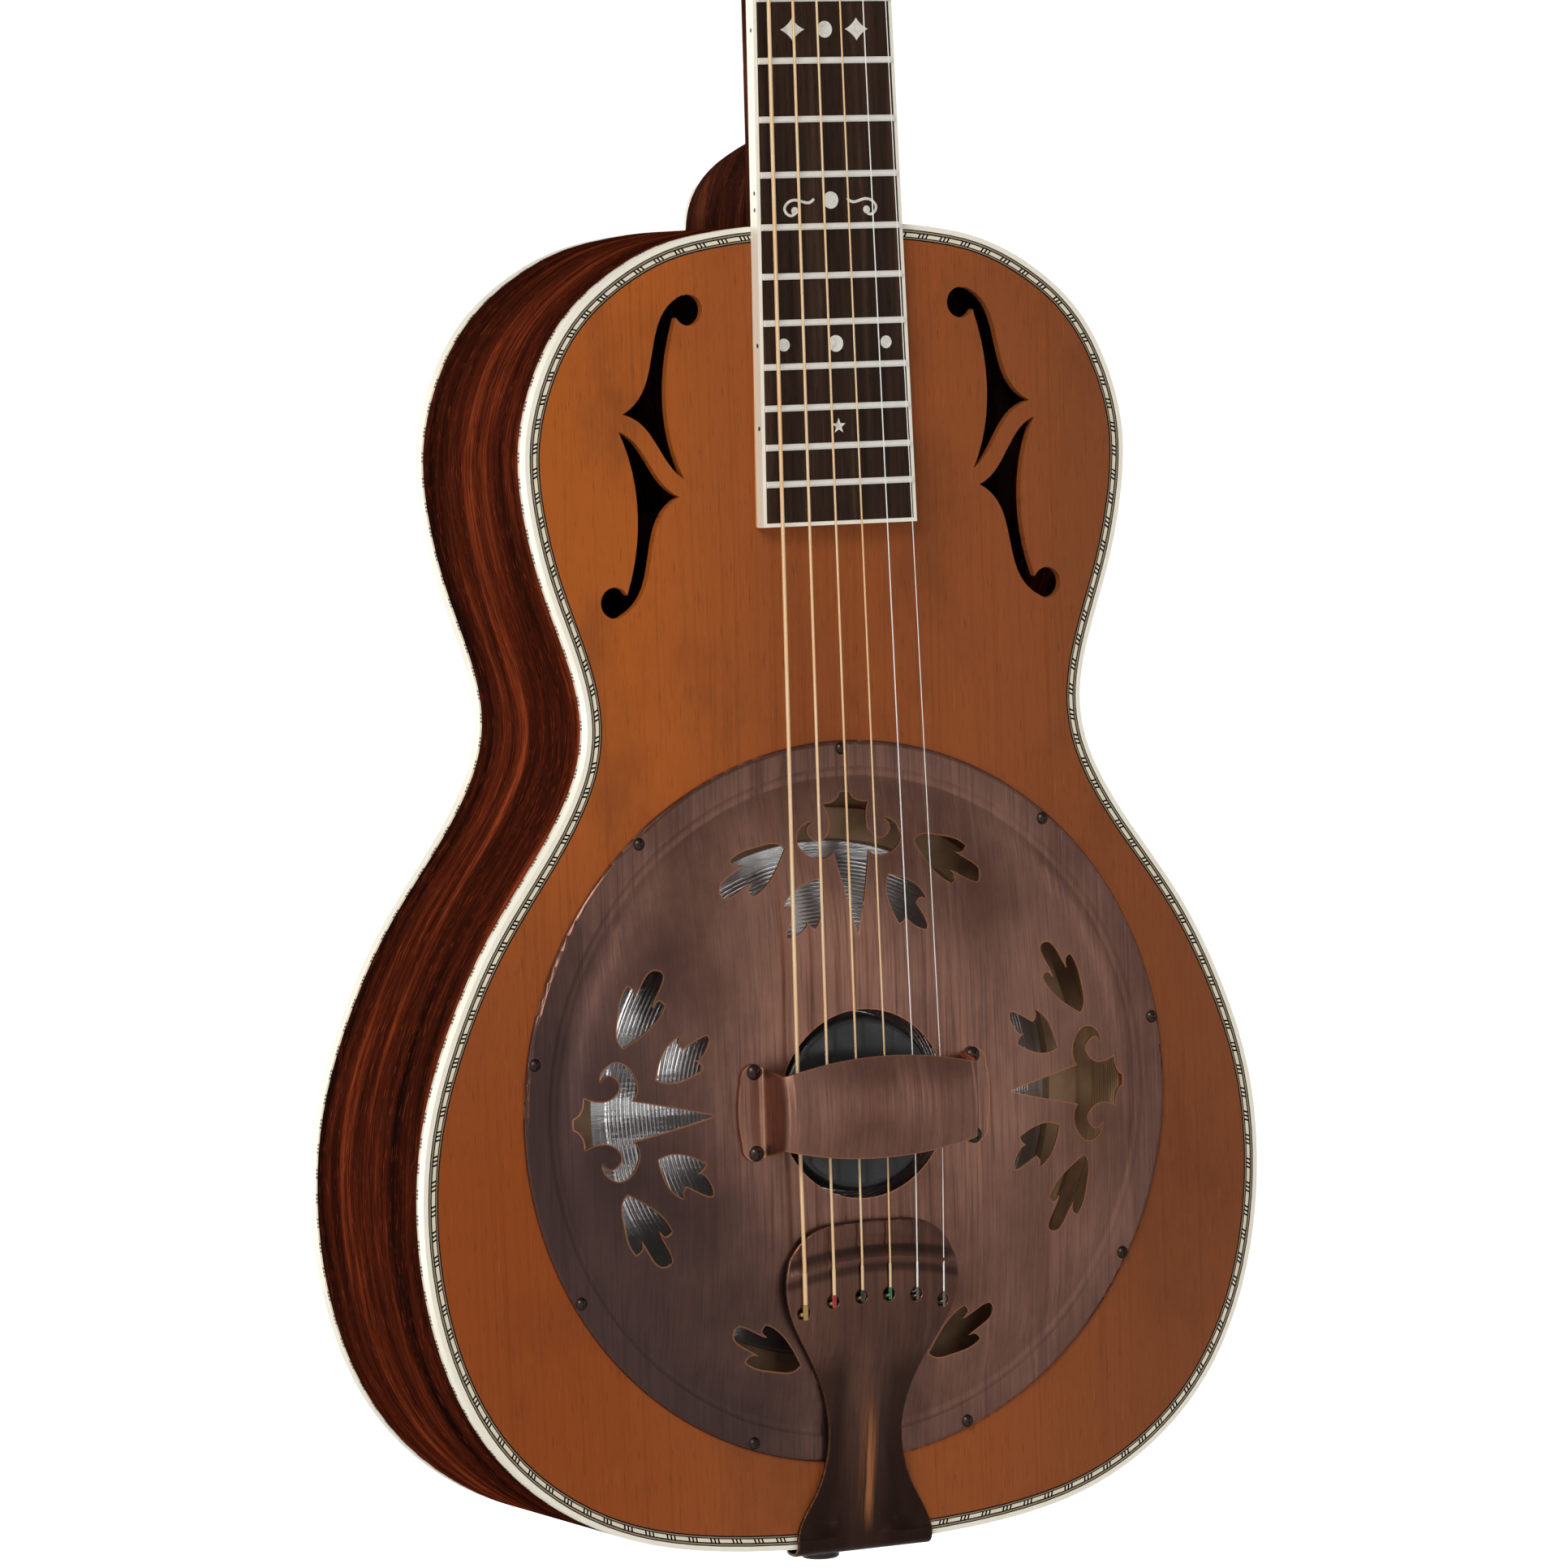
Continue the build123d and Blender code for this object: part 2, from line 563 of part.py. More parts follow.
def tab():
    """The bend over the end of the body and the tongue that the end pin holds."""
    face_y, high = TAB_FACE_Y, 2.4
    inner_y = face_y + TAIL_T
    side = make_face([
        Line((-160.5, high), (-162.5, high)),
        ThreePointArc((-162.5, high), (face_y + 1.2, high - 1.2), (face_y, high - 4.1)),
        Line((face_y, high - 4.1), (face_y, TAB_LOW_Z)),
        Line((face_y, TAB_LOW_Z), (inner_y, TAB_LOW_Z)),
        Line((inner_y, TAB_LOW_Z), (inner_y, high - 4.1)),
        ThreePointArc((inner_y, high - 4.1), (inner_y + 0.8, high - 2.2), (-162.5, high - TAIL_T)),
        Line((-162.5, high - TAIL_T), (-160.5, high - TAIL_T)),
        Line((-160.5, high - TAIL_T), (-160.5, high)),
    ])
    strap = extrude(Plane.YZ * side, amount=TAB_HALF_W, both=True)
    front = make_face([
        Line((-TAB_HALF_W, 5), (TAB_HALF_W, 5)),
        Line((TAB_HALF_W, 5), (TAB_HALF_W, -4)),
        Spline((TAB_HALF_W, -4), (26.4, -9), (22, -18), (17.1, -27), (13.5, -34)),
        ThreePointArc((13.5, -34), (0, TAB_LOW_Z), (-13.5, -34)),
        Spline((-13.5, -34), (-17.1, -27), (-22, -18), (-26.4, -9), (-TAB_HALF_W, -4)),
        Line((-TAB_HALF_W, -4), (-TAB_HALF_W, 5)),
    ])
    return strap & Pos(0, -160, 0) * extrude(Plane.XZ * front, amount=10)


def head_arch_drop(x):
    """How far the arched head of the tailpiece falls from its middle to x."""
    return 2.1 * (x / TAIL_STATIONS[2][1]) ** 2


def string_hole_places():
    return [((i - 2.5) * TAIL_PITCH, y) for i, y in enumerate(STRING_HOLE_Y)]


def tailpiece():
    sheet = loft([tail_section(*station) for station in TAIL_STATIONS])
    piece = sheet & prism(tail_plan(), -5, 30)
    piece += tab()
    for x, y in string_hole_places():
        piece -= rod(STRING_HOLE_R, 5, 25, x, y)
    return piece - end_pin()


def end_pin():
    """A turned button whose shank goes through the tab into the tail block."""
    base_y = TAB_FACE_Y
    runs = [(2.4, TAIL_Y + 22, base_y), (5.6, base_y, base_y - 1.2), (3.8, base_y - 1.2, base_y - 3.6)]
    pin = Cylinder(PIN_R, 3.4)
    pin = fillet(pin.edges().group_by(Axis.Z)[-1], 1.2)
    pin = Pos(0, base_y - 5.3, PIN_Z) * Rot(90, 0, 0) * pin
    for radius, start, end in runs:
        pin += Pos(0, (start + end) / 2, PIN_Z) * Rot(90, 0, 0) * Cylinder(radius, start - end)
    return pin


# ---------------------------------------------------------------- neck
def neck_half_width(y):
    """Half width of the fingerboard at y of the neck frame."""
    share = (NUT_Y - y) / (SCALE - BOARD_END_Y)
    return NUT_HALF_W + (BOARD_END_HALF_W - NUT_HALF_W) * share


def neck_section(half_w, depth, power, place):
    """A neck section: flat on top, and a superellipse underneath."""
    def point(turn):
        c, s = math.cos(math.radians(turn)), math.sin(math.radians(turn))
        return (math.copysign(abs(c) ** (2 / power), c) * half_w, -(s ** (2 / power)) * depth)
    curve = Spline(*[point(t) for t in (0, 20, 45, 70, 90, 110, 135, 160)], (-half_w, 0))
    face = make_face([Line((-half_w, 0), (half_w, 0)), curve])
    return place * Plane(origin=(0, 0, 0), x_dir=(1, 0, 0), z_dir=(0, -1, 0)).location * face


def neck_shaft():
    """The shaft from the body's end to the head, growing squarer under the nut."""
    w = neck_half_width
    stations = [
        (w(-6), NECK_DEPTH_AT_HEEL + 0.4, 2.2, NECK * Pos(0, -6, 0)),
        (w(70), NECK_DEPTH_AT_HEEL - 0.6, 2.2, NECK * Pos(0, 70, 0)),
        (w(240), NECK_DEPTH + 0.4, 2.2, NECK * Pos(0, 240, 0)),
        (w(290), NECK_DEPTH, 2.4, NECK * Pos(0, 290, 0)),
        (NUT_HALF_W, NECK_DEPTH + 0.6, 3.2, NECK * Pos(0, NUT_Y + NUT_T, 0)),
    ]
    shaft = loft([neck_section(*s) for s in stations])
    corner = loft([
        neck_section(*stations[-1]),
        neck_section(NUT_HALF_W + 1, HEAD_T - VENEER_T, 9, HEAD * Pos(0, 14, -VENEER_T)),
    ])
    return shaft + corner


def heel_half_axes(z):
    """Half width and length of the heel at depth z under the top."""
    share = (z + DEPTH_AT_NECK) / DEPTH_AT_NECK
    return 10 + 17.5 * share ** 0.75, 15 + 25 * share ** 0.5


def heel():
    levels = [-DEPTH_AT_NECK + 2 + 12.5 * i for i in range(7)]
    slices = []
    for z in levels:
        a, b = heel_half_axes(z)
        slices.append(Pos(0, NECK_END_Y - 2, z) * Ellipse(a, b + 2))
    return loft(slices)


def heel_cap():
    a, b = heel_half_axes(-DEPTH_AT_NECK + 2)
    cap = prism(Pos(0, NECK_END_Y - 2) * Ellipse(a, b + 2), -DEPTH_AT_NECK, -DEPTH_AT_NECK + 2)
    return cap - body_prism()


def body_prism():
    return prism(plan(), -2 * DEPTH_AT_NECK, 20)


def head_plan():
    """The head from the front: shoulders flaring from the nut, nearly straight sides, a crown."""
    half = [
        Line((0, 0), (NUT_HALF_W, 0)),
        Spline((NUT_HALF_W, 0), (26, 12), (36.5, 27), tangents=[(0, 1), (0.25, 1)]),
        Line((36.5, 27), (35, HEAD_LENGTH - 18)),
        ThreePointArc((35, HEAD_LENGTH - 18), (32, HEAD_LENGTH - 9), (22, HEAD_LENGTH - 6)),
        Spline((22, HEAD_LENGTH - 6), (16, HEAD_LENGTH - 5), (7, HEAD_LENGTH - 1.4), (0, HEAD_LENGTH)),
        Line((0, HEAD_LENGTH), (0, 0)),
    ]
    face = make_face(half)
    return face + mirror(face, about=Plane.YZ)


def post_holes():
    return [rod(POST_HOLE_R, -HEAD_T - 3, 3, x, y) for x in (-POST_X, POST_X) for y in TUNER_Y]


def neck():
    wood = neck_shaft() + heel()
    wood += HEAD * prism(head_plan(), -HEAD_T, -VENEER_T)
    wood = wood - body_prism() - HEAD * prism(head_plan(), -VENEER_T, 5)
    wood += tenon() & prism(plan(), -SCRATCH, 0)
    wood += tenon() & block((-12, 12), (NECK_END_Y - 4, NECK_END_Y + 3), (-SCRATCH, 0)) - body_prism()
    for hole in post_holes():
        wood -= HEAD * hole
    for screw in tuner_screws() + truss_cover_screws():
        wood -= screw
    return wood - truss_rod() - NECK * truss_channel()


def truss_channel():
    """The slot over the rod, closed by the fingerboard, and the pocket at the nut."""
    return block((-3.05, 3.05), (20, NUT_Y), (-9, 1))


def truss_rod():
    rod_y = (24, NUT_Y + NUT_T + 16)
    bar = Pos(0, (rod_y[0] + NUT_Y - 6) / 2, -6) * Rot(90, 0, 0) * Cylinder(2.6, NUT_Y - 6 - rod_y[0])
    return NECK * bar


def truss_rod_cover():
    """A bell-shaped plate on the head, behind the nut."""
    half = [
        Line((0, 2), (9, 2)),
        Spline((9, 2), (8.7, 7), (7.4, 12), (5.2, 17.5), (3.0, 22.5), (0, 31)),
        Line((0, 31), (0, 2)),
    ]
    face = make_face(half)
    face += mirror(face, about=Plane.YZ)
    plate = HEAD * prism(face, 0, 1.6)
    for screw in truss_cover_screws():
        plate -= screw
    return plate


def truss_cover_screws():
    screw = cross_screw(1.6, 0.9, 0.8, 6)
    return [HEAD * Pos(0, y, 1.6) * screw for y in (5.5, 24.5)]


def head_veneer():
    face = prism(head_plan(), -VENEER_T, 0)
    for hole in post_holes():
        face -= hole
    face = HEAD * face
    for screw in truss_cover_screws():
        face -= screw
    return face


# ---------------------------------------------------------------- fingerboard
def crown_drop(x):
    """How far the crown falls from the centre line to x."""
    return BOARD_CROWN_R - math.sqrt(BOARD_CROWN_R ** 2 - x * x)


def crown_face(width, low, high):
    """A section of the neck frame between two arcs concentric with the board's crown."""
    def arc(height):
        return ThreePointArc((-width, height - crown_drop(width)), (0, height),
                             (width, height - crown_drop(width)))
    top, bottom = arc(high), arc(low)
    ends = [Line(top @ 0, bottom @ 0), Line(top @ 1, bottom @ 1)]
    return make_face([top, bottom, *ends])


def board_plan(inset, end_inset=0.0):
    """The fingerboard's tapered plan in the neck frame."""
    end = BOARD_END_Y - SCALE / 2
    wide, narrow = neck_half_width(end) - inset, NUT_HALF_W - inset
    start = end + end_inset
    return make_face(Polyline((-wide, start), (wide, start), (narrow, NUT_Y), (-narrow, NUT_Y), close=True))


def under_crown():
    """Everything from the underside of the board to its crowned face."""
    drop = crown_drop(40)
    face = make_face([
        Line((-40, 0), (40, 0)),
        Line((40, 0), (40, BOARD_T - drop)),
        ThreePointArc((40, BOARD_T - drop), (0, BOARD_T), (-40, BOARD_T - drop)),
        Line((-40, BOARD_T - drop), (-40, 0)),
    ])
    return Pos(0, SCALE / 2, 0) * extrude(Plane.XZ * face, amount=SCALE, both=False)


def fret_y(n):
    """Place of fret n in the neck frame."""
    return SCALE * 2 ** (-n / 12) - SCALE / 2


def fret(n):
    """One fret: a low crowned bar that follows the board between its bindings."""
    y = fret_y(n)
    width = neck_half_width(y) - BOARD_BINDING_T - 0.1
    bar = Pos(0, y + FRET_W / 2, 0) * extrude(Plane.XZ * crown_face(width, BOARD_T, BOARD_T + FRET_H),
                                              amount=FRET_W)
    return chamfer(bar.edges().filter_by(GeomType.CIRCLE).group_by(Axis.Z)[-1], 0.6, 0.45)


def dot(x, y, radius):
    return Pos(x, y) * Circle(radius)


def diamond(x, y, half_w, half_h):
    """A diamond with hollowed sides."""
    tips = [(half_w, 0), (0, half_h), (-half_w, 0), (0, -half_h)]
    mid_w, mid_h = half_w * 0.42, half_h * 0.42
    mids = [(mid_w, mid_h), (-mid_w, mid_h), (-mid_w, -mid_h), (mid_w, -mid_h)]
    sides = [ThreePointArc(tips[i], mids[i], tips[(i + 1) % 4]) for i in range(4)]
    return Pos(x, y) * make_face(sides)


def star(x, y, radius):
    points = []
    for k in range(10):
        r = radius if k % 2 == 0 else radius * 0.42
        angle = math.radians(90 + 36 * k)
        points.append((x + r * math.cos(angle), y + r * math.sin(angle)))
    return make_face(Polyline(*points, close=True))


def curl(y):
    """A scroll lying across the board, its tip towards the centre."""
    line = Spline((6.8, y + 0.6), (9.5, y - 0.8), (13.5, y + 0.2), (17.2, y - 0.6), (18.6, y - 3),
                  (17.2, y - 5), (14.6, y - 4.6))
    return trace(line, 1.0) + Pos(14.6, y - 3.6) * Circle(1.4)


def space_middle(n):
    """The middle of the space behind fret n."""
    return (fret_y(n) + fret_y(n - 1)) / 2


def inlay_faces():
    """Inlays by fret space: dots, hollow diamonds, scrolls and stars."""
    y3, y5, y7, y9, y12, y15, y17 = [space_middle(n) for n in MARKED_FRETS]
    faces = [star(0, y3, 4.2), dot(0, y12, 3.1), dot(0, y15, 3.0), star(0, y17, 2.9)]
    faces += [dot(-9, y5, 3.0), dot(9, y5, 3.0), dot(0, y9, 3.0)]
    faces += [diamond(0, y7, 4.2, 6.5), diamond(-13, y9, 4.8, 4.1), diamond(13, y9, 4.8, 4.1)]
    faces += [dot(-20.8, y15, 2.3), dot(20.8, y15, 2.3), *both(curl(y12))]
    return faces


def fingerboard_set():
    """The board, its binding with an end strip, the frets and the inlays, fitted to each other."""
    blank = under_crown()
    wood = blank & prism(board_plan(BOARD_BINDING_T, BOARD_BINDING_T), -1, 20)
    binding = (blank & prism(board_plan(0), -1, 20)) - wood
    layer = blank - Pos(0, 0, -0.8) * blank
    inlays = [layer & prism(face, 0, 20) for face in inlay_faces()]
    for inlay in inlays:
        wood -= inlay
    frets = [fret(n) for n in range(1, LAST_FRET + 1)]
    return wood, binding, frets, inlays


def side_dots(binding):
    """Black position dots let into the bass side of the binding."""
    dots = []
    for n in MARKED_FRETS:
        y = space_middle(n)
        offsets = (-3, 3) if n == 12 else (0,)
        for shift in offsets:
            x = -neck_half_width(y + shift)
            peg = Pos(x, y + shift, 3.4) * Rot(0, 90, 0) * Cylinder(0.8, 1.4)
            dots.append(peg & binding)
    return dots


def nut():
    """A bone nut against the end of the board."""
    top = NUT_STRING_Z + 0.5
    face = crown_face(NUT_HALF_W, BOARD_T, top) + make_face([
        Line((-NUT_HALF_W, 0), (NUT_HALF_W, 0)),
        Line((NUT_HALF_W, 0), (NUT_HALF_W, BOARD_T)),
        Line((NUT_HALF_W, BOARD_T), (-NUT_HALF_W, BOARD_T)),
        Line((-NUT_HALF_W, BOARD_T), (-NUT_HALF_W, 0)),
    ])
    return NECK * Pos(0, NUT_Y + NUT_T, 0) * extrude(Plane.XZ * face, amount=NUT_T)


def fingerboard_wedge():
    """The thin wedge that fills the space between the top and the leaning board."""
    def under(y):
        return BOARD_LIFT + (SCALE / 2 - y) * math.tan(math.radians(NECK_SET))
    start, end = BOARD_END_Y + 0.3, NECK_END_Y - 6
    side = make_face(Polyline((start, 0), (start, under(start)), (end, under(end)), (end, 0), close=True))
    taper = NECK * prism(board_plan(0.2), -20, 20)
    return extrude(Plane.YZ * side, amount=60, both=True) & taper


# ---------------------------------------------------------------- tuners
def gear():
    """A spur wheel with radial flanks."""
    points = []
    for k in range(GEAR_TEETH):
        for share, r in ((0.0, GEAR_ROOT_R), (0.28, GEAR_ROOT_R), (0.40, GEAR_TIP_R), (0.68, GEAR_TIP_R)):
            angle = 2 * math.pi * (k + share + 0.20) / GEAR_TEETH
            points.append((r * math.cos(angle), r * math.sin(angle)))
    return prism(make_face(Polyline(*points, close=True)), *GEAR_Z)


def tuner_post(side, y):
    """A string post with its gear, as one turned piece."""
    post = rod(POST_R, GEAR_Z[0] - 0.6, POST_TOP_Z)
    post = fillet(post.edges().group_by(Axis.Z)[-1], 0.9)
    post -= Pos(0, 0, POST_TOP_Z - 5.5) * Rot(0, 90, 0) * Cylinder(0.9, 10)
    return HEAD * Pos(side * POST_X, y, 0) * (post + gear())


def tuner_key(side, y):
    """A worm on its shaft, and the button pressed on the shaft's end."""
    def along(radius, start, end):
        return Pos((start + end) / 2, 0, 0) * Rot(0, 90, 0) * Cylinder(radius, end - start)
    shaft = along(SHAFT_R, 12.6, 52) + along(WORM_R, 16.2, 27.8)
    oval = extrude(Plane.XZ * Ellipse(8.5, 6.2), amount=3.2, both=True)
    oval = fillet(oval.edges(), 2.0)
    button = Pos(53.5, 0, 0) * oval + along(3.4, 42.5, 47)
    button -= along(SHAFT_R, 30, 52)
    place = HEAD * Pos(0, y - WORM_OFFSET, WORM_Z) * Rot(0, 0 if side > 0 else 180, 0)
    return [place * shaft, place * button]


def tuner_plates():
    """One plate for each side's three tuners, with two ears round every worm shaft."""
    low = -HEAD_T - PLATE_T
    middle_y = TUNER_Y[1] - WORM_OFFSET / 2
    outline = Pos(POST_X, middle_y) * RectangleRounded(17, 106, 6)
    plate = prism(outline, low, -HEAD_T)
    for y in TUNER_Y:
        plate -= rod(POST_HOLE_R, low - 1, 0, POST_X, y)
        for x in (13.6, 28.8):
            ear = block((x, x + 1.6), (y - WORM_OFFSET - 3.4, y - WORM_OFFSET + 3.4), (WORM_Z - 3, low))
            bore = Pos(x, y - WORM_OFFSET, WORM_Z) * Rot(0, 90, 0) * Cylinder(SHAFT_HOLE_R, 8)
            plate = plate + ear - bore
    plates = [HEAD * p for p in both(plate)]
    for screw in tuner_screws():
        plates = [p - screw for p in plates]
    return plates


def tuner_screws():
    screw = Rot(180, 0, 0) * cross_screw(2.2, 1.2, 1.0, 9)
    ys = [22.5, TUNER_Y[0] + 15, TUNER_Y[1] + 15, 130.5]
    places = [(side * POST_X, y) for side in (-1, 1) for y in ys]
    return [HEAD * Pos(x, y, -HEAD_T - PLATE_T) * screw for x, y in places]


# ---------------------------------------------------------------- strings
def string_path(i):
    """Points of one string: ball end, tailpiece, saddle, nut, and the side of its post."""
    r = STRING_R[i]
    lane = i - 2.5
    hole_x, hole_y = string_hole_places()[i]
    top_z = TAIL_STATIONS[2][2] - head_arch_drop(hole_x)
    saddle_x, nut_x = lane * SADDLE_PITCH, lane * NUT_PITCH
    nut_point = (NECK * Pos(nut_x, NUT_Y + 1.5, NUT_STRING_Z - crown_drop(nut_x))).position
    side, post = (-1, i) if i < 3 else (1, 5 - i)
    post_x = side * (POST_X - POST_R - r - 0.12)
    post_point = (HEAD * Pos(post_x, TUNER_Y[post], 5.5 + 0.5 * post)).position
    return [
        Vector(hole_x, hole_y - 1.1, top_z - TAIL_T - BALL_R - 0.15),
        Vector(hole_x, hole_y - 0.1, top_z + 0.6 + r),
        Vector(hole_x + (saddle_x - hole_x) * 0.2, -57.5, top_z + 1.1 + r),
        Vector(saddle_x, 0, SADDLE_STRING_Z - crown_drop(saddle_x)),
        nut_point,
        post_point,
    ]


def string(i):
    points = string_path(i)
    path = FilletPolyline(*points, radius=[0.9, 12, 20, 14])
    start = Plane(origin=path @ 0, z_dir=path % 0)
    return sweep(start * Circle(STRING_R[i]), path=path)


def ball_ends(strings):
    """The small brass drums that stop the strings under the tailpiece."""
    balls = []
    for i in range(6):
        end = string_path(i)[0]
        balls.append(Pos(*end) * Rot(0, 90, 0) * Cylinder(BALL_R, 3.2) - strings[i])
    return balls


# ---------------------------------------------------------------- assembly
def write_body():
    write("soundboard", soundboard())
    back = prism(plan(BINDING_W), -2 * DEPTH_AT_NECK, 0) & back_slab(0, BACK_T)
    write("back_plate", back)
    write("bass_side", rib(-1))
    write("treble_side", rib(1))
    write("top_binding", *band_prisms(0, BINDING_W, -BINDING_H, 0))
    rims = band_prisms(0, BINDING_W, -2 * DEPTH_AT_NECK, 0)
    write("back_binding", *[rim & back_slab(0, BINDING_H) for rim in rims])
    write("top_purfling", *band_prisms(BINDING_W, BINDING_W + PURFLING_W, -PURFLING_T, 0))
    write("side_purfling", *side_lines())
    under_top = block((-SCRATCH, SCRATCH), (-SCRATCH, SCRATCH), (-TOP_T - LINING_H, 0))
    write("top_lining", *linings(under_top))
    write("back_lining", *linings(back_slab(BACK_T, BACK_T + LINING_H)))
    neck_block, tail_block = blocks()
    write("neck_block", neck_block)
    write("tail_block", tail_block)
    top_braces, back_braces = braces()
    write("top_braces", *top_braces)
    write("back_braces", *back_braces)
    write("end_pin", end_pin())


def write_resonator():
    write("soundwell", soundwell())
    write("soundwell_posts", *well_posts())
    write("cone", cone())
    write("biscuit", biscuit())
    write("biscuit_screw", biscuit_screw())
    write("saddle", saddle())
    write("coverplate", coverplate())
    write("coverplate_screws", *coverplate_screws())
    write("palm_rest", palm_rest())
    write("palm_rest_screws", *palm_rest_screws())
    write("tailpiece", tailpiece())


def write_neck(strings):
    write("neck", neck())
    write("heel_cap", heel_cap())
    write("truss_rod", truss_rod())
    write("truss_rod_cover", truss_rod_cover())
    write("truss_cover_screws", *truss_cover_screws())
    write("head_veneer", head_veneer())
    wood, binding, frets, inlays = fingerboard_set()
    dots = side_dots(binding)
    for peg in dots:
        binding -= peg
    write("fingerboard", NECK * wood)
    write("fingerboard_binding", NECK * binding)
    write("frets", *[NECK * bar for bar in frets])
    write("inlays", *[NECK * inlay for inlay in inlays])
    write("side_dots", *[NECK * peg for peg in dots])
    write("fingerboard_wedge", fingerboard_wedge())
    slotted_nut = nut()
    for wire in strings:
        slotted_nut -= wire
    write("nut", slotted_nut)


def write_tuners():
    write("tuner_plates", *tuner_plates())
    write("tuner_screws", *tuner_screws())
    for i, name in enumerate(STRING_NAMES):
        side, place = (-1, i) if i < 3 else (1, 5 - i)
        write(f"{name}_post", tuner_post(side, TUNER_Y[place]))
        write(f"{name}_key", *tuner_key(side, TUNER_Y[place]))


def write_strings(strings):
    for name, wire in zip(STRING_NAMES, strings):
        write(f"{name}_string", wire)
    write("ball_ends", *ball_ends(strings))


os.makedirs("parts", exist_ok=True)
all_strings = [string(i) for i in range(6)]
write_body()
write_resonator()
write_neck(all_strings)
write_tuners()
write_strings(all_strings)
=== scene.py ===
"""Looks of the resonator guitar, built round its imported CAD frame. Metres, front facing -Y."""
import math

import bpy
from mathutils import Matrix, Vector


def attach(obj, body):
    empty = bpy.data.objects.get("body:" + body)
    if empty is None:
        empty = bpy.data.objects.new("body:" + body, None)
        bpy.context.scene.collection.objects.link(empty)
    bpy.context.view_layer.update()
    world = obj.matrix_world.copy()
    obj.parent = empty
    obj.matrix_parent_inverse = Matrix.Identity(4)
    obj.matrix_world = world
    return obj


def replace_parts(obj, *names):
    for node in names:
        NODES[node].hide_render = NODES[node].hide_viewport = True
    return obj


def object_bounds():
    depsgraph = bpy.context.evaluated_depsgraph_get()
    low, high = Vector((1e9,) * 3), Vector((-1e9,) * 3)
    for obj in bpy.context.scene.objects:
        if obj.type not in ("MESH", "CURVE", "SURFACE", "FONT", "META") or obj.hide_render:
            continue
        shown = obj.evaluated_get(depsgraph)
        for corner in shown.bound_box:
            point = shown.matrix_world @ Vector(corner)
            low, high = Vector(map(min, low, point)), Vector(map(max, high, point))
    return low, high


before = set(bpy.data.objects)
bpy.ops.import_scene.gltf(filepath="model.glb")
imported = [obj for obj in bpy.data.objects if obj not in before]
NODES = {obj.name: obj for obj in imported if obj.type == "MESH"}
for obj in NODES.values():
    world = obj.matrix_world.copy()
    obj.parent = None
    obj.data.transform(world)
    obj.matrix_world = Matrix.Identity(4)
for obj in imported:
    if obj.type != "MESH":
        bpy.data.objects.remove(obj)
CAD_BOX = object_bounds()

MM = 0.001
PLIES_PER_METRE = 620
BRONZE_WRAP = 0.42 * MM           # pitch of the wrap wire on a wound string
SILK_WRAP = 0.35 * MM
SADDLE_Z = -0.62865               # the saddle line, below the nut line
CENTRE_Z = SADDLE_Z - 0.0024      # centre of cone and coverplate
STRINGS = ("low_e", "a", "d", "g", "b", "high_e")
WOUND = ("low_e", "a", "d", "g")
BEAD_HALF = 30.0                  # half length of the bead across the tailpiece, mm
BEAD_ARCH = 3.5                   # how far the bead's ends fall below its middle, mm


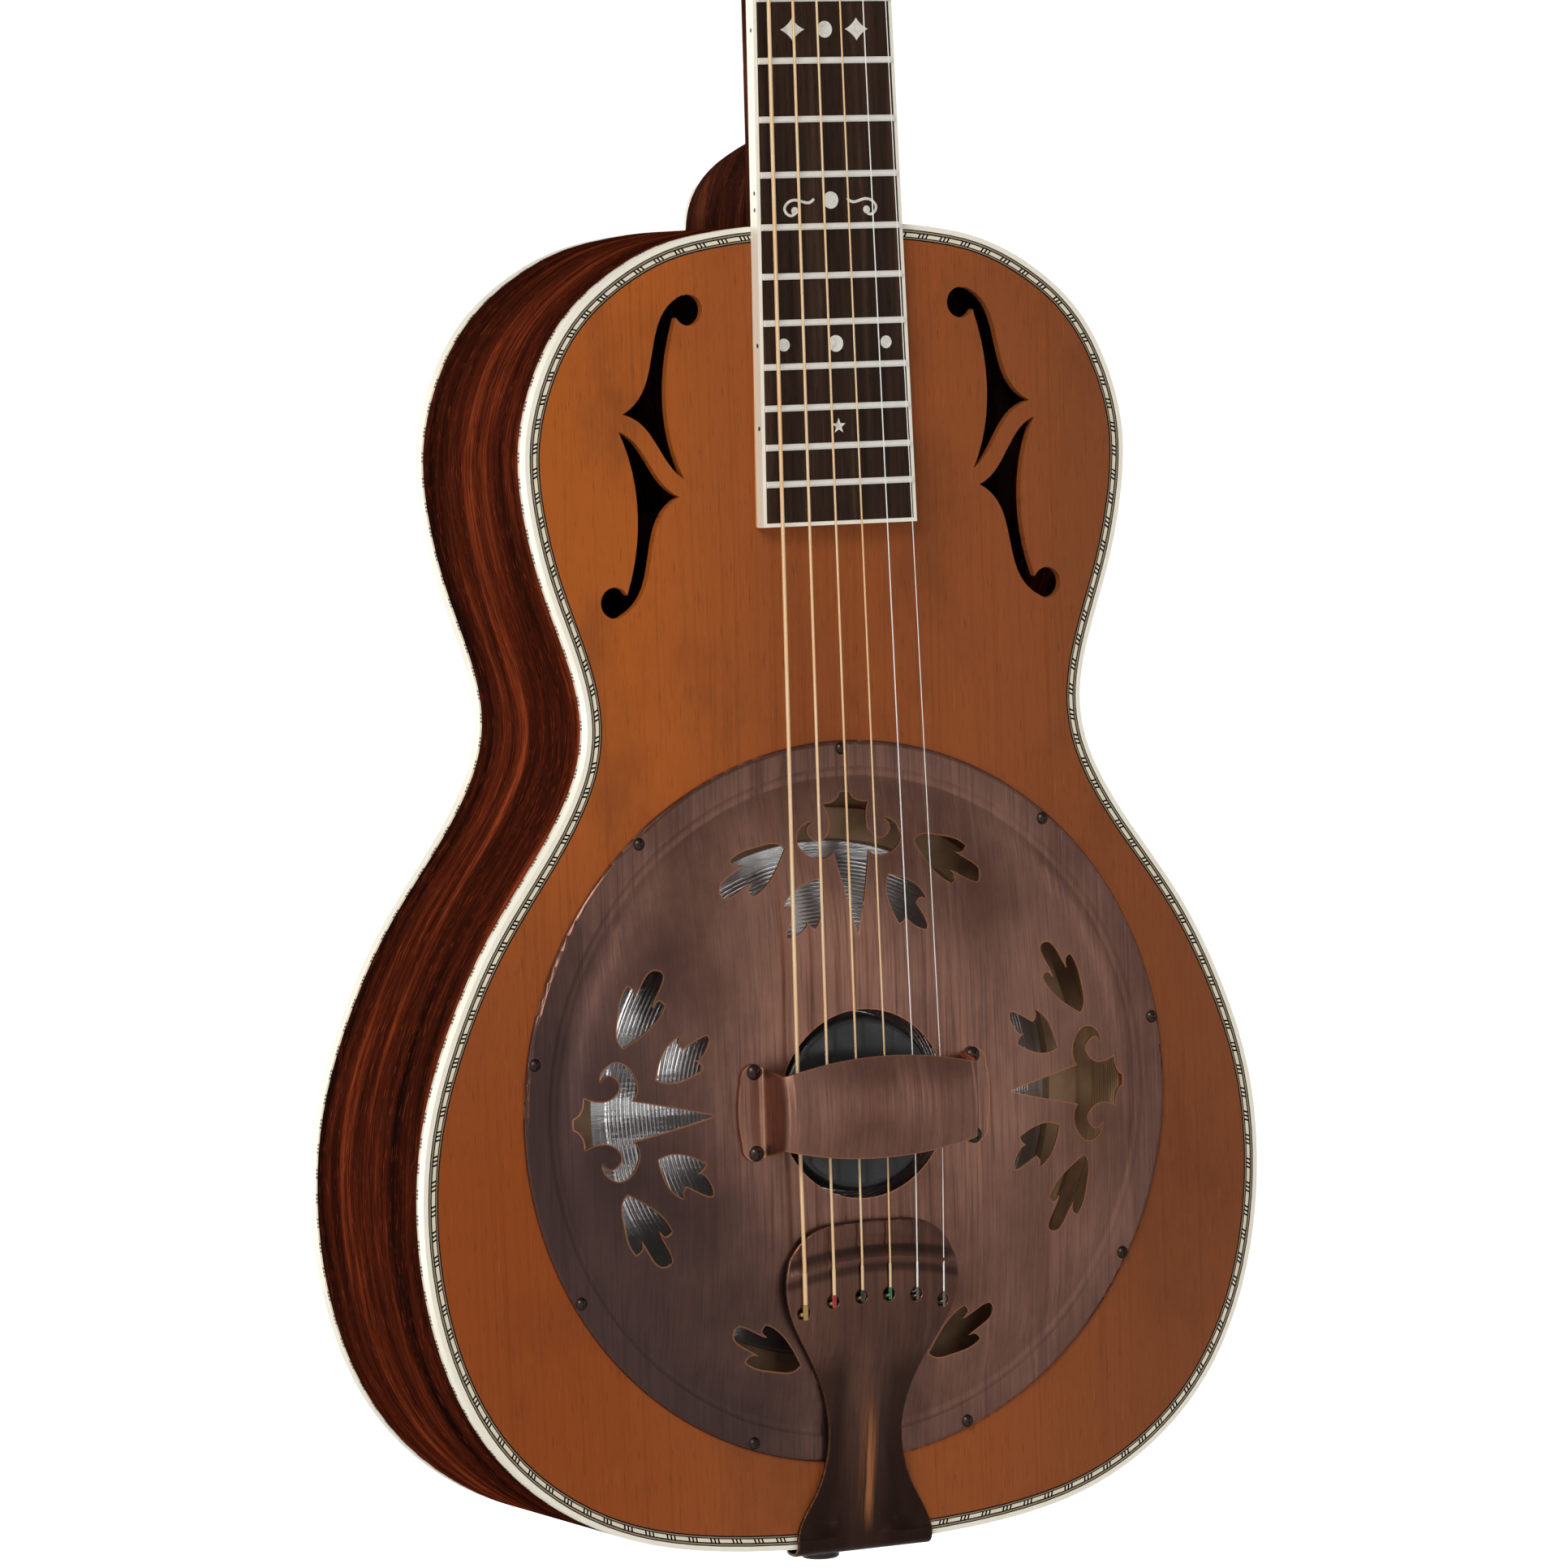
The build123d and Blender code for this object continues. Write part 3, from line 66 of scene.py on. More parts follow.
# ---------------------------------------------------------------- shader helpers
class Graph:
    """Builds one material. Each method adds a node and returns its output socket."""

    def __init__(self, name):
        self.material = bpy.data.materials.new(name)
        self.material.use_nodes = True
        self.tree = self.material.node_tree
        self.tree.nodes.clear()
        self.place = self.add("ShaderNodeTexCoord").outputs["Object"]

    def add(self, kind, settings=None, inputs=None):
        node = self.tree.nodes.new(kind)
        for key, value in (settings or {}).items():
            setattr(node, key, value)
        for key, value in (inputs or {}).items():
            if isinstance(value, bpy.types.NodeSocket):
                self.tree.links.new(value, node.inputs[key])
            else:
                node.inputs[key].default_value = value
        return node

    def axes(self):
        """The object coordinates as three sockets."""
        return self.add("ShaderNodeSeparateXYZ", inputs={0: self.place}).outputs

    def vector(self, x=0.0, y=0.0, z=0.0):
        return self.add("ShaderNodeCombineXYZ", inputs={0: x, 1: y, 2: z}).outputs[0]

    def scaled(self, x, y, z, source=None):
        """Coordinates times a scale on each axis."""
        inputs = {"Vector": source or self.place, "Scale": (x, y, z)}
        return self.add("ShaderNodeMapping", {"vector_type": "POINT"}, inputs).outputs[0]

    def noise(self, vector, scale=1.0, detail=3.0, roughness=0.55, distortion=0.0):
        inputs = {
            "Vector": vector, "Scale": scale, "Detail": detail,
            "Roughness": roughness, "Distortion": distortion,
        }
        return self.add("ShaderNodeTexNoise", inputs=inputs).outputs[0]

    def ramp(self, factor, *stops):
        """A colour ramp through (position, colour) stops."""
        node = self.add("ShaderNodeValToRGB", inputs={0: factor})
        elements = node.color_ramp.elements
        while len(elements) < len(stops):
            elements.new(0.5)
        for element, (position, colour) in zip(elements, stops):
            element.position = position
            element.color = (*colour, 1.0)
        return node.outputs[0]

    def level(self, value, low, high, out_low=0.0, out_high=1.0):
        """A smooth step from low to high."""
        inputs = {0: value, 1: low, 2: high, 3: out_low, 4: out_high}
        return self.add("ShaderNodeMapRange", {"interpolation_type": "SMOOTHSTEP"}, inputs).outputs[0]

    def math(self, operation, a, b=0.0):
        return self.add("ShaderNodeMath", {"operation": operation}, {0: a, 1: b}).outputs[0]

    def product(self, *values):
        """The product of two or more values."""
        total = values[0]
        for value in values[1:]:
            total = self.math("MULTIPLY", total, value)
        return total

    def offset(self, value, middle):
        """How far a value is from the middle, without sign."""
        return self.math("ABSOLUTE", self.math("SUBTRACT", value, middle))

    def mix(self, factor, a, b):
        """Two colours mixed."""
        a, b = ((*c, 1.0) if isinstance(c, tuple) and len(c) == 3 else c for c in (a, b))
        return self.add("ShaderNodeMix", {"data_type": "RGBA"}, {0: factor, 6: a, 7: b}).outputs[2]

    def bump(self, height, distance, strength=1.0, normal=None):
        inputs = {"Height": height, "Distance": distance, "Strength": strength}
        if normal is not None:
            inputs["Normal"] = normal
        return self.add("ShaderNodeBump", inputs=inputs).outputs[0]

    def sharp_edge(self, radius, samples=4):
        """1 on sharp edges and 0 away from them."""
        rounded = self.add("ShaderNodeBevel", {"samples": samples}, {"Radius": radius}).outputs[0]
        flat = self.add("ShaderNodeNewGeometry").outputs["Normal"]
        both = {0: rounded, 1: flat}
        dot = self.add("ShaderNodeVectorMath", {"operation": "DOT_PRODUCT"}, both).outputs["Value"]
        return self.level(dot, 0.97, 0.75)

    def finish(self, colour, roughness, metallic=0.0, normal=None, **constants):
        """The surface. Constants are set on the shader's own sockets."""
        colour = (*colour, 1.0) if isinstance(colour, tuple) and len(colour) == 3 else colour
        inputs = {"Base Color": colour, "Roughness": roughness, "Metallic": metallic}
        names = {
            "coat": "Coat Weight", "coat_roughness": "Coat Roughness", "ior": "IOR",
            "specular": "Specular IOR Level", "sheen": "Sheen Weight", "anisotropic": "Anisotropic",
            "subsurface": "Subsurface Weight", "glow": "Emission Strength",
        }
        inputs.update({names[key]: value for key, value in constants.items()})
        if normal is not None:
            inputs["Normal"] = normal
        if "glow" in constants:
            inputs["Emission Color"] = (1.0, 1.0, 1.0, 1.0)
        shader = self.add("ShaderNodeBsdfPrincipled", inputs=inputs)
        output = self.add("ShaderNodeOutputMaterial")
        self.tree.links.new(shader.outputs[0], output.inputs[0])
        return self.material


# ---------------------------------------------------------------- woods
def spruce_top():
    """Aged orange-brown lacquer over fine upright grain, golden on the bass side's upper bout."""
    g = Graph("spruce_top")
    x, _, z = g.axes()
    patches = g.noise(g.scaled(9, 9, 6), detail=4)
    left = g.math("ADD", g.product(x, -1.0), g.product(patches, 0.05))
    above = g.level(z, SADDLE_Z + 0.02, SADDLE_Z + 0.15)
    below = g.level(z, SADDLE_Z + 0.12, SADDLE_Z - 0.04)
    golden = g.product(g.level(left, 0.035, 0.115), above)
    left_low = g.product(g.level(left, 0.05, 0.15), below)
    tone = g.mix(golden, (0.318, 0.085, 0.021), (0.440, 0.110, 0.016))
    tone = g.mix(left_low, tone, (0.300, 0.066, 0.010))
    tone = g.mix(g.level(x, 0.03, 0.15, 0.0, 0.8), tone, (0.215, 0.066, 0.024))
    wander = g.noise(g.scaled(6, 6, 3), detail=1)
    across = g.math("ADD", x, g.product(wander, 0.012))
    rings = g.noise(g.vector(g.product(across, 620), 0, g.product(z, 5)), detail=3)
    tone = g.mix(g.level(rings, 0.48, 0.74, 0.0, 0.22), tone, (0.100, 0.022, 0.006))
    stain = g.noise(g.scaled(17, 17, 11), detail=5, roughness=0.65)
    tone = g.mix(g.level(stain, 0.46, 0.72, 0.0, 0.50), tone, (0.150, 0.042, 0.014))
    fleck = g.noise(g.scaled(1500, 1, 95), detail=2, roughness=0.7)
    tone = g.mix(g.level(fleck, 0.55, 0.75, 0.0, 0.5), tone, (0.10, 0.022, 0.006))
    light = g.noise(g.scaled(900, 1, 60), detail=2)
    tone = g.mix(g.level(light, 0.60, 0.8, 0.0, 0.3), tone, (0.48, 0.17, 0.040))
    rough = g.level(patches, 0.3, 0.7, 0.42, 0.52)
    relief = g.bump(g.math("ADD", rings, g.product(fleck, 0.6)), 0.00006, 0.5)
    return g.finish(tone, rough, normal=relief, specular=0.13, coat=0.02, coat_roughness=0.38)


def mahogany(name, along, dark, mid, light, ribbon=75.0, gloss=0.34, shine=0.25):
    """Striped mahogany with open pores. along holds how quickly the stripes change on each axis."""
    g = Graph(name)
    wander = g.noise(g.scaled(6, 6, 6), detail=2)
    sway = g.product(g.math("SUBTRACT", wander, 0.5), 0.022)
    swayed = g.vector(sway, sway, sway)
    moved = g.add("ShaderNodeVectorMath", {"operation": "ADD"}, {0: g.place, 1: swayed}).outputs[0]
    grain = g.scaled(*along, source=moved)
    ribbons = g.noise(grain, scale=ribbon, detail=4, roughness=0.65)
    tone = g.ramp(
        ribbons,
        (0.34, dark),
        (0.46, tuple((a + b) / 2 for a, b in zip(dark, mid))),
        (0.54, mid),
        (0.66, light),
    )
    fine = g.noise(grain, scale=ribbon * 14, detail=3, roughness=0.7)
    tone = g.mix(g.level(fine, 0.42, 0.66, 0.0, 0.65), tone, dark)
    pores = g.noise(grain, scale=ribbon * 42, detail=1)
    tone = g.mix(g.level(pores, 0.62, 0.70, 0.0, 0.8), tone, (0.008, 0.003, 0.002))
    glints = g.noise(grain, scale=ribbon * 36, detail=1, distortion=0.2)
    tone = g.mix(g.level(glints, 0.66, 0.74, 0.0, 0.5), tone, tuple(min(1, 1.7 * c) for c in light))
    relief = g.bump(g.math("SUBTRACT", fine, pores), 0.00008, 0.6)
    rough = g.level(ribbons, 0.3, 0.7, gloss - 0.06, gloss + 0.08)
    return g.finish(tone, rough, normal=relief, specular=shine)


def rosewood():
    """Dark oiled rosewood: brown-black streaks along the neck, open pores."""
    g = Graph("rosewood")
    streaks = g.noise(g.scaled(260, 260, 7), detail=4, roughness=0.65)
    tone = g.ramp(
        streaks,
        (0.30, (0.016, 0.008, 0.005)),
        (0.52, (0.034, 0.017, 0.010)),
        (0.70, (0.064, 0.034, 0.020)),
    )
    pores = g.noise(g.scaled(2600, 2600, 150), detail=1)
    pore = g.level(pores, 0.60, 0.70)
    tone = g.mix(g.product(pore, 0.7), tone, (0.010, 0.006, 0.004))
    relief = g.bump(pore, 0.00008, -0.6)
    return g.finish(tone, g.level(streaks, 0.3, 0.7, 0.38, 0.50), normal=relief, specular=0.12)


def plain_wood(name, pale, dark, grain=(320, 320, 8), rough=0.6):
    """Bare wood with fine grain."""
    g = Graph(name)
    lines = g.noise(g.scaled(*grain), detail=4, roughness=0.65)
    tone = g.ramp(lines, (0.30, dark), (0.65, pale))
    return g.finish(tone, rough, normal=g.bump(lines, 0.00010, 0.5))


def plywood():
    """Plywood: tan faces and dark glue lines seen in section."""
    g = Graph("plywood")
    _, y, _ = g.axes()
    layer = g.math("FRACT", g.product(y, PLIES_PER_METRE))
    streak = g.noise(g.scaled(60, 900, 60), detail=3)
    tone = g.ramp(streak, (0.3, (0.34, 0.20, 0.11)), (0.7, (0.58, 0.36, 0.20)))
    line = g.level(g.offset(layer, 0.5), 0.36, 0.44)
    tone = g.mix(g.product(line, 0.75), tone, (0.05, 0.025, 0.012))
    return g.finish(tone, 0.62, normal=g.bump(line, 0.0001, -0.6))


# ---------------------------------------------------------------- metals
def reach(g, x, z):
    """Distance from the middle of the coverplate, as a socket."""
    rise = g.math("SUBTRACT", z, CENTRE_Z)
    return g.math("SQRT", g.math("ADD", g.product(x, x), g.product(rise, rise)))


def shaded_side(g, x, z, cloud, painted_shade):
    """Where the coverplate is darkest: painted shade on its lower bass side, and a little all round
    its rim.
    """
    slope = g.math("ADD", g.product(x, 0.85), g.product(g.math("SUBTRACT", z, CENTRE_Z), 0.5))
    shade = g.level(g.math("ADD", slope, g.product(cloud, 0.07)), -0.07, 0.04, painted_shade, 0.0)
    rim = g.level(reach(g, x, z), 0.108, 0.130, 0.0, 0.35)
    return g.math("MAXIMUM", shade, rim)


def tail_shadow_and_patina(g, x, down):
    """Painted shadow along both sides of the tailpiece's bead, and patina with painted shade in the
    hollows of its stem.
    """
    arched = g.math("SUBTRACT", down, g.product(g.product(x, x), BEAD_ARCH / (BEAD_HALF ** 2 * MM)))
    bead_shadows = [g.level(g.offset(arched, at), 0.0028, 0.0004) for at in (0.0545, 0.0615)]
    hollow = g.product(g.level(g.math("ABSOLUTE", x), 0.0050, 0.0115), g.level(down, 0.088, 0.104))
    return g.math("MAXIMUM", hollow, g.math("MAXIMUM", *bead_shadows))


def tail_shine(g, x, z, broad):
    """Painted highlight: an orange streak low on the tailpiece's stem."""
    stem = g.level(g.math("ABSOLUTE", x), 0.0050, 0.0005)
    start = g.level(z, SADDLE_Z - 0.100, SADDLE_Z - 0.130)
    end = g.level(z, SADDLE_Z - 0.162, SADDLE_Z - 0.145)
    return g.product(stem, start, end, 0.7, g.level(broad, 0.40, 0.62))


def aged_copper(name, painted_shade=0.84, tail=False):
    """Brushed copper plate: its lower bass side darkened by a given share as painted shade, and its
    sharp edges bright, as worn copper with a painted highlight.
    """
    g = Graph(name)
    x, _, z = g.axes()
    brushed = g.noise(g.scaled(1300, 300, 26), detail=5, roughness=0.7)
    broad = g.noise(g.scaled(260, 60, 9), detail=5, roughness=0.65)
    cloud = g.noise(g.scaled(19, 19, 15), detail=5, roughness=0.62)
    tone = g.ramp(
        cloud,
        (0.30, (0.190, 0.088, 0.062)),
        (0.50, (0.290, 0.145, 0.106)),
        (0.70, (0.420, 0.215, 0.155)),
    )
    tone = g.mix(g.level(broad, 0.48, 0.72, 0.0, 0.40), tone, (0.50, 0.250, 0.180))
    tone = g.mix(g.level(brushed, 0.46, 0.70, 0.0, 0.55), tone, (0.110, 0.064, 0.062))
    if painted_shade:
        # painted shade on the lower bass side, and the band round the rim darker
        tone = g.mix(shaded_side(g, x, z, cloud, painted_shade), tone, (0.052, 0.034, 0.035))
    # sharp edges: worn copper with a painted highlight on them
    wear_and_highlight = g.sharp_edge(0.0012)
    if tail:
        # darker all over the tailpiece, and most towards its foot
        darker_towards_foot = g.level(z, SADDLE_Z - 0.06, SADDLE_Z - 0.155, 0.50, 0.92)
        tone = g.mix(darker_towards_foot, tone, (0.034, 0.017, 0.013))
        shadow_and_patina_mask = tail_shadow_and_patina(g, x, g.math("SUBTRACT", SADDLE_Z, z))
        # painted shadow beside the bead, and patina with painted shade in the stem's hollows
        tone = g.mix(g.product(shadow_and_patina_mask, 0.6), tone, (0.022, 0.012, 0.010))
        # add the painted highlight low on the stem
        wear_and_highlight = g.math("MAXIMUM", wear_and_highlight, tail_shine(g, x, z, broad))
    # bright copper on the sharp edges, worn and with a painted highlight, and the painted highlight on
    # the tailpiece's stem
    tone = g.mix(g.product(wear_and_highlight, 0.8), tone, (0.78, 0.300, 0.120))
    rough = g.math("ADD", g.level(brushed, 0.3, 0.7, 0.27, 0.38), g.level(cloud, 0.3, 0.7, 0.0, 0.06))
    relief = g.bump(g.math("ADD", brushed, broad), 0.00004, 0.5)
    return g.finish(tone, rough, metallic=0.97, normal=relief)


def bright_metal(name, colour, rough, wear=(0.5, 0.5, 0.5), scale=140.0, metallic=1.0):
    """A plated or turned metal part with light scratches and dulled patches."""
    g = Graph(name)
    cloud = g.noise(g.scaled(scale, scale, scale), detail=4, roughness=0.65)
    scratch = g.noise(g.scaled(scale * 22, scale * 4, scale * 3), detail=3, roughness=0.7)
    tone = g.mix(g.level(cloud, 0.45, 0.75, 0.0, 0.5), colour, wear)
    roughness = g.level(cloud, 0.3, 0.7, rough, rough + 0.14)
    return g.finish(tone, roughness, metallic=metallic, normal=g.bump(scratch, 0.000012, 0.4))


def spun_aluminium():
    """Bright spun metal with rings about the cone's axis."""
    g = Graph("spun_aluminium")
    x, _, z = g.axes()
    rings = g.noise(g.vector(g.product(reach(g, x, z), 2600), 0, 0), detail=3, roughness=0.7)
    cloud = g.noise(g.scaled(60, 60, 60), detail=3)
    tone = g.ramp(rings, (0.3, (0.74, 0.74, 0.74)), (0.7, (0.98, 0.97, 0.96)))
    rough = g.math("ADD", g.level(rings, 0.3, 0.7, 0.10, 0.20), g.level(cloud, 0.3, 0.7, 0.0, 0.05))
    wave = g.noise(g.scaled(70, 70, 420), detail=3, roughness=0.6)
    relief = g.bump(g.math("ADD", rings, g.product(wave, 4.0)), 0.00006, 0.7)
    return g.finish(tone, rough, metallic=0.85, normal=relief)


def wound_string():
    """Bronze wrap wire on a steel core: fine turns along the string."""
    g = Graph("wound_string")
    _, _, z = g.axes()
    turns = g.math("SINE", g.product(z, 2 * math.pi / BRONZE_WRAP))
    cloud = g.noise(g.scaled(90, 90, 30), detail=3)
    tone = g.ramp(cloud, (0.3, (1.00, 0.62, 0.32)), (0.7, (1.00, 0.80, 0.52)))
    # painted shade in the grooves between the turns of wire
    tone = g.mix(g.level(turns, 0.1, -0.9, 0.0, 0.4), tone, (0.42, 0.25, 0.12))
    return g.finish(tone, 0.42, metallic=0.2, normal=g.bump(turns, 0.00004, 0.6))


# ---------------------------------------------------------------- plastics, bone, pearl
def celluloid(name, colour, shade, rough=0.32):
    """Aged cream plastic: faint streaks, yellowed in places."""
    g = Graph(name)
    streaks = g.noise(g.scaled(40, 260, 14), detail=3)
    cloud = g.noise(g.scaled(22, 22, 22), detail=3)
    tone = g.mix(g.level(streaks, 0.4, 0.75, 0.0, 0.5), colour, shade)
    tone = g.mix(g.level(cloud, 0.5, 0.75, 0.0, 0.35), tone, shade)
    relief = g.bump(g.noise(g.scaled(900, 900, 900), detail=2), 0.00002, 0.3)
    return g.finish(tone, g.level(cloud, 0.3, 0.7, rough, rough + 0.1), normal=relief, coat=0.25,
                    coat_roughness=0.25)


def black_gloss(name, colour=(0.012, 0.011, 0.011), rough=0.25, shine=0.5):
    """Black lacquer or plastic with faint dust and rubbing marks."""
    g = Graph(name)
    dust = g.noise(g.scaled(420, 420, 420), detail=4, roughness=0.75)
    cloud = g.noise(g.scaled(60, 60, 60), detail=3)
    dusty = tuple(min(1, c * 4 + 0.01) for c in colour)
    tone = g.mix(g.level(dust, 0.58, 0.80, 0.0, 0.5), colour, dusty)
    relief = g.bump(dust, 0.00002, 0.3)
    return g.finish(tone, g.level(cloud, 0.3, 0.7, rough, rough + 0.15), normal=relief, specular=shine)


def pearl():
    """Mother of pearl: pale figure that shifts between cream, pink and green."""
    g = Graph("pearl")
    figure = g.noise(g.scaled(260, 260, 190), detail=4, roughness=0.6, distortion=1.2)
    tone = g.ramp(
        figure,
        (0.30, (0.62, 0.60, 0.53)),
        (0.45, (0.78, 0.74, 0.66)),
        (0.55, (0.84, 0.84, 0.80)),
        (0.70, (0.70, 0.76, 0.72)),
    )
    return g.finish(tone, 0.18, normal=g.bump(figure, 0.00002, 0.3), coat=0.5, coat_roughness=0.08)


def thread(name, colour):
    """Wrapped silk."""
    g = Graph(name)
    _, _, z = g.axes()
    turns = g.math("SINE", g.product(z, 2 * math.pi / SILK_WRAP))
    # painted shade in the grooves between the turns of silk
    tone = g.mix(g.level(turns, 0.2, -0.9, 0.0, 0.6), colour, tuple(c * 0.3 for c in colour))
    return g.finish(tone, 0.7, normal=g.bump(turns, 0.0001, 0.8), sheen=0.4)


# ---------------------------------------------------------------- mesh helpers
def new_piece(name, verts, faces, materials, body, face_materials=None, smooth=True):
    """A mesh object that rides on a body."""
    mesh = bpy.data.meshes.new(name)
    mesh.from_pydata([tuple(v) for v in verts], [], faces)
    for material in materials:
        mesh.materials.append(material)
    if face_materials:
        mesh.polygons.foreach_set("material_index", face_materials)
    mesh.polygons.foreach_set("use_smooth", [smooth] * len(mesh.polygons))
    mesh.update()
    piece = bpy.data.objects.new(name, mesh)
    bpy.context.scene.collection.objects.link(piece)
    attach(piece, body)
    return piece


def lathe(profile, place, turns=96):
    """Verts and faces of a closed profile of (radius, height) turned about place's z axis."""
    count = len(profile)
    verts = []
    for k in range(turns):
        a = 2 * math.pi * k / turns
        verts += [place @ Vector((r * math.cos(a), r * math.sin(a), h)) for r, h in profile]
    faces = []
    for k in range(turns):
        for i in range(count):
            j = (i + 1) % count
            here, ahead = k * count, ((k + 1) % turns) * count
            faces.append((here + i, ahead + i, ahead + j, here + j))
    return verts, faces


def tube(points, radius, sides=10):
    """Verts and faces of a tube with flat ends. radius is a number or one number per point."""
    radii = radius if isinstance(radius, list) else [radius] * len(points)
    verts, faces = [], []
    normal = None
    for i, point in enumerate(points):
        ahead = points[min(i + 1, len(points) - 1)] - points[max(i - 1, 0)]
        ahead = ahead.normalized()
        if normal is None:
            normal = ahead.orthogonal().normalized()
        normal = (normal - ahead * normal.dot(ahead)).normalized()
        across = ahead.cross(normal)
        for k in range(sides):
            a = 2 * math.pi * k / sides
            verts.append(point + (normal * math.cos(a) + across * math.sin(a)) * radii[i])
    for i in range(len(points) - 1):
        for k in range(sides):
            a, b = i * sides + k, i * sides + (k + 1) % sides
            faces.append((a, b, b + sides, a + sides))
    last = (len(points) - 1) * sides
    faces.append(tuple(reversed(range(sides))))
    faces.append(tuple(range(last, last + sides)))
    return verts, faces


def paint(material, *nodes):
    """Gives CAD nodes one material."""
    for node in nodes:
        slots = NODES[node].data.materials
        slots.clear()
        slots.append(material)


def front_rails(node):
    """The edges of a trim band's front face, for each side: [(outer points, inner points), ...]."""
    mesh = NODES[node].data
    front = min(v.co.y for v in mesh.vertices)
    place, uses = {}, {}
    for face in mesh.polygons:
        if face.normal.y > -0.9 or abs(face.center.y - front) > 1e-5:
            continue
        corners = [mesh.vertices[i].co for i in face.vertices]
        keys = [(round(c.x * 1e6), round(c.z * 1e6)) for c in corners]
        place.update(zip(keys, corners))
        for a, b in zip(keys, keys[1:] + keys[:1]):
            edge = tuple(sorted((a, b)))
            uses[edge] = uses.get(edge, 0) + 1
    rim = [edge for edge, count in uses.items() if count == 1]
    return [side_rails(rim, place, front, side) for side in (-1, 1)]


def side_rails(rim, place, front, side):
    """The outer and inner chains of one side's rim edges."""
    near = {}
    for a, b in rim:
        if (a[0] + b[0]) * side > 10:
            near.setdefault(a, []).append(b)
            near.setdefault(b, []).append(a)
    chains, used = [], set()
    for start in sorted((k for k in near if len(near[k]) == 1), key=lambda k: k[1]):
        if start in used:
            continue
        chain, last = [start], None
        while True:
            ahead = [k for k in near[chain[-1]] if k != last]
            if not ahead:
                break
            last = chain[-1]
            chain.append(ahead[0])
        used.update((chain[0], chain[-1]))
        chains.append([Vector((place[k].x, front, place[k].z)) for k in chain])
    chains.sort(key=lambda c: -sum((b - a).length for a, b in zip(c, c[1:])))
    return chains[0], chains[1]


def resample(points, step):
    """Points at equal steps along a chain, with the length at each."""
    lengths = [0.0]
    for a, b in zip(points, points[1:]):
        lengths.append(lengths[-1] + (b - a).length)
    count = max(2, round(lengths[-1] / step))
    out, i = [], 0
    for k in range(count + 1):
        want = lengths[-1] * k / count
        while i < len(points) - 2 and lengths[i + 1] < want:
            i += 1
        share = (want - lengths[i]) / max(lengths[i + 1] - lengths[i], 1e-12)
        out.append(points[i].lerp(points[i + 1], min(1.0, max(0.0, share))))
    return out, lengths[-1] / count


def nearest_on(chain, point, start):
    """The point of a chain nearest to a point, searched on from index start."""
    best, best_at, best_index = 1e9, chain[0], start
    for i in range(max(0, start - 6), min(len(chain) - 1, start + 30)):
        a, b = chain[i], chain[i + 1]
        span = b - a
        share = max(0.0, min(1.0, (point - a).dot(span) / max(span.length_squared, 1e-18)))
        here = a.lerp(b, share)
        if (here - point).length_squared < best:
            best, best_at, best_index = (here - point).length_squared, here, i
    return best_at, best_index


# ---------------------------------------------------------------- trim
# Marquetry inside the top binding, as shares of its width: (start, end, kind)
BAND = [
    (0.00, 0.10, "dark"), (0.10, 0.23, "light"), (0.23, 0.35, "dark"), (0.35, 0.68, "blocks"),
    (0.68, 0.78, "dark"), (0.78, 0.87, "light"), (0.87, 1.00, "dark"),
]
PERIOD = 9.0 * MM
# One period of the blocks: (start, end, kind)
BLOCKS = [
    (0.00, 0.50, "pale"), (0.50, 0.58, "dark"), (0.58, 0.67, "pale"), (0.67, 0.75, "dark"),
    (0.75, 0.84, "pale"), (0.84, 0.92, "dark"), (0.92, 1.00, "pale"),
]
SLANT = 0.45                      # how far a dash leans, as a share of the row's width
BAND_WIDTH = 3.9 * MM
BAND_STEP = 0.36 * MM
LINE_STEPS = 4                    # steps in one tile of a plain line
KINDS = ("dark", "light", "pale")
TILE_DEPTH = Vector((0, 1.4 * MM, 0))
TILE_FACES = [(0, 1, 2, 3), (7, 6, 5, 4), (0, 4, 5, 1), (1, 5, 6, 2), (2, 6, 7, 3), (3, 7, 4, 0)]


class Tiles:
    """Thin solid tiles gathered into one mesh."""

    def __init__(self):
        self.verts, self.faces, self.kinds = [], [], []

    def add(self, corners, kind):
        base = len(self.verts)
        self.verts += [*corners, *(corner + TILE_DEPTH for corner in corners)]
        self.faces += [tuple(base + i for i in face) for face in TILE_FACES]
        self.kinds += [KINDS.index(kind)] * len(TILE_FACES)


class Strip:
    """The band between two chains, by the length along it and the share across it."""

    def __init__(self, outer, inner):
        self.outer, self.step = resample(outer, BAND_STEP)
        if (inner[0] - self.outer[0]).length > (inner[-1] - self.outer[0]).length:
            inner = inner[::-1]
        self.inner, index = [], 0
        for point in self.outer:
            mate, index = nearest_on(inner, point, index)
            self.inner.append(mate)
        self.inner[-1] = inner[-1]
        self.count = len(self.outer) - 1
        self.length = self.step * self.count

    def at(self, along, share):
        place = max(0.0, min(float(self.count), along / self.step))
        i = min(int(place), self.count - 1)
        outer = self.outer[i].lerp(self.outer[i + 1], place - i)
        return outer.lerp(self.inner[i].lerp(self.inner[i + 1], place - i), share)

    def patch(self, start, end, low, high, lean=0.0):
        """The corners of a piece of the band."""
        return [
            self.at(start, low), self.at(start + lean, high),
            self.at(end + lean, high), self.at(end, low),
        ]


def line_tiles(strip, tiles, low, high, kind):
    """A plain line along the band."""
    for k in range(0, strip.count, LINE_STEPS):
        start, end = k * strip.step, min(k + LINE_STEPS, strip.count) * strip.step
        tiles.add(strip.patch(start, end, low, high), kind)


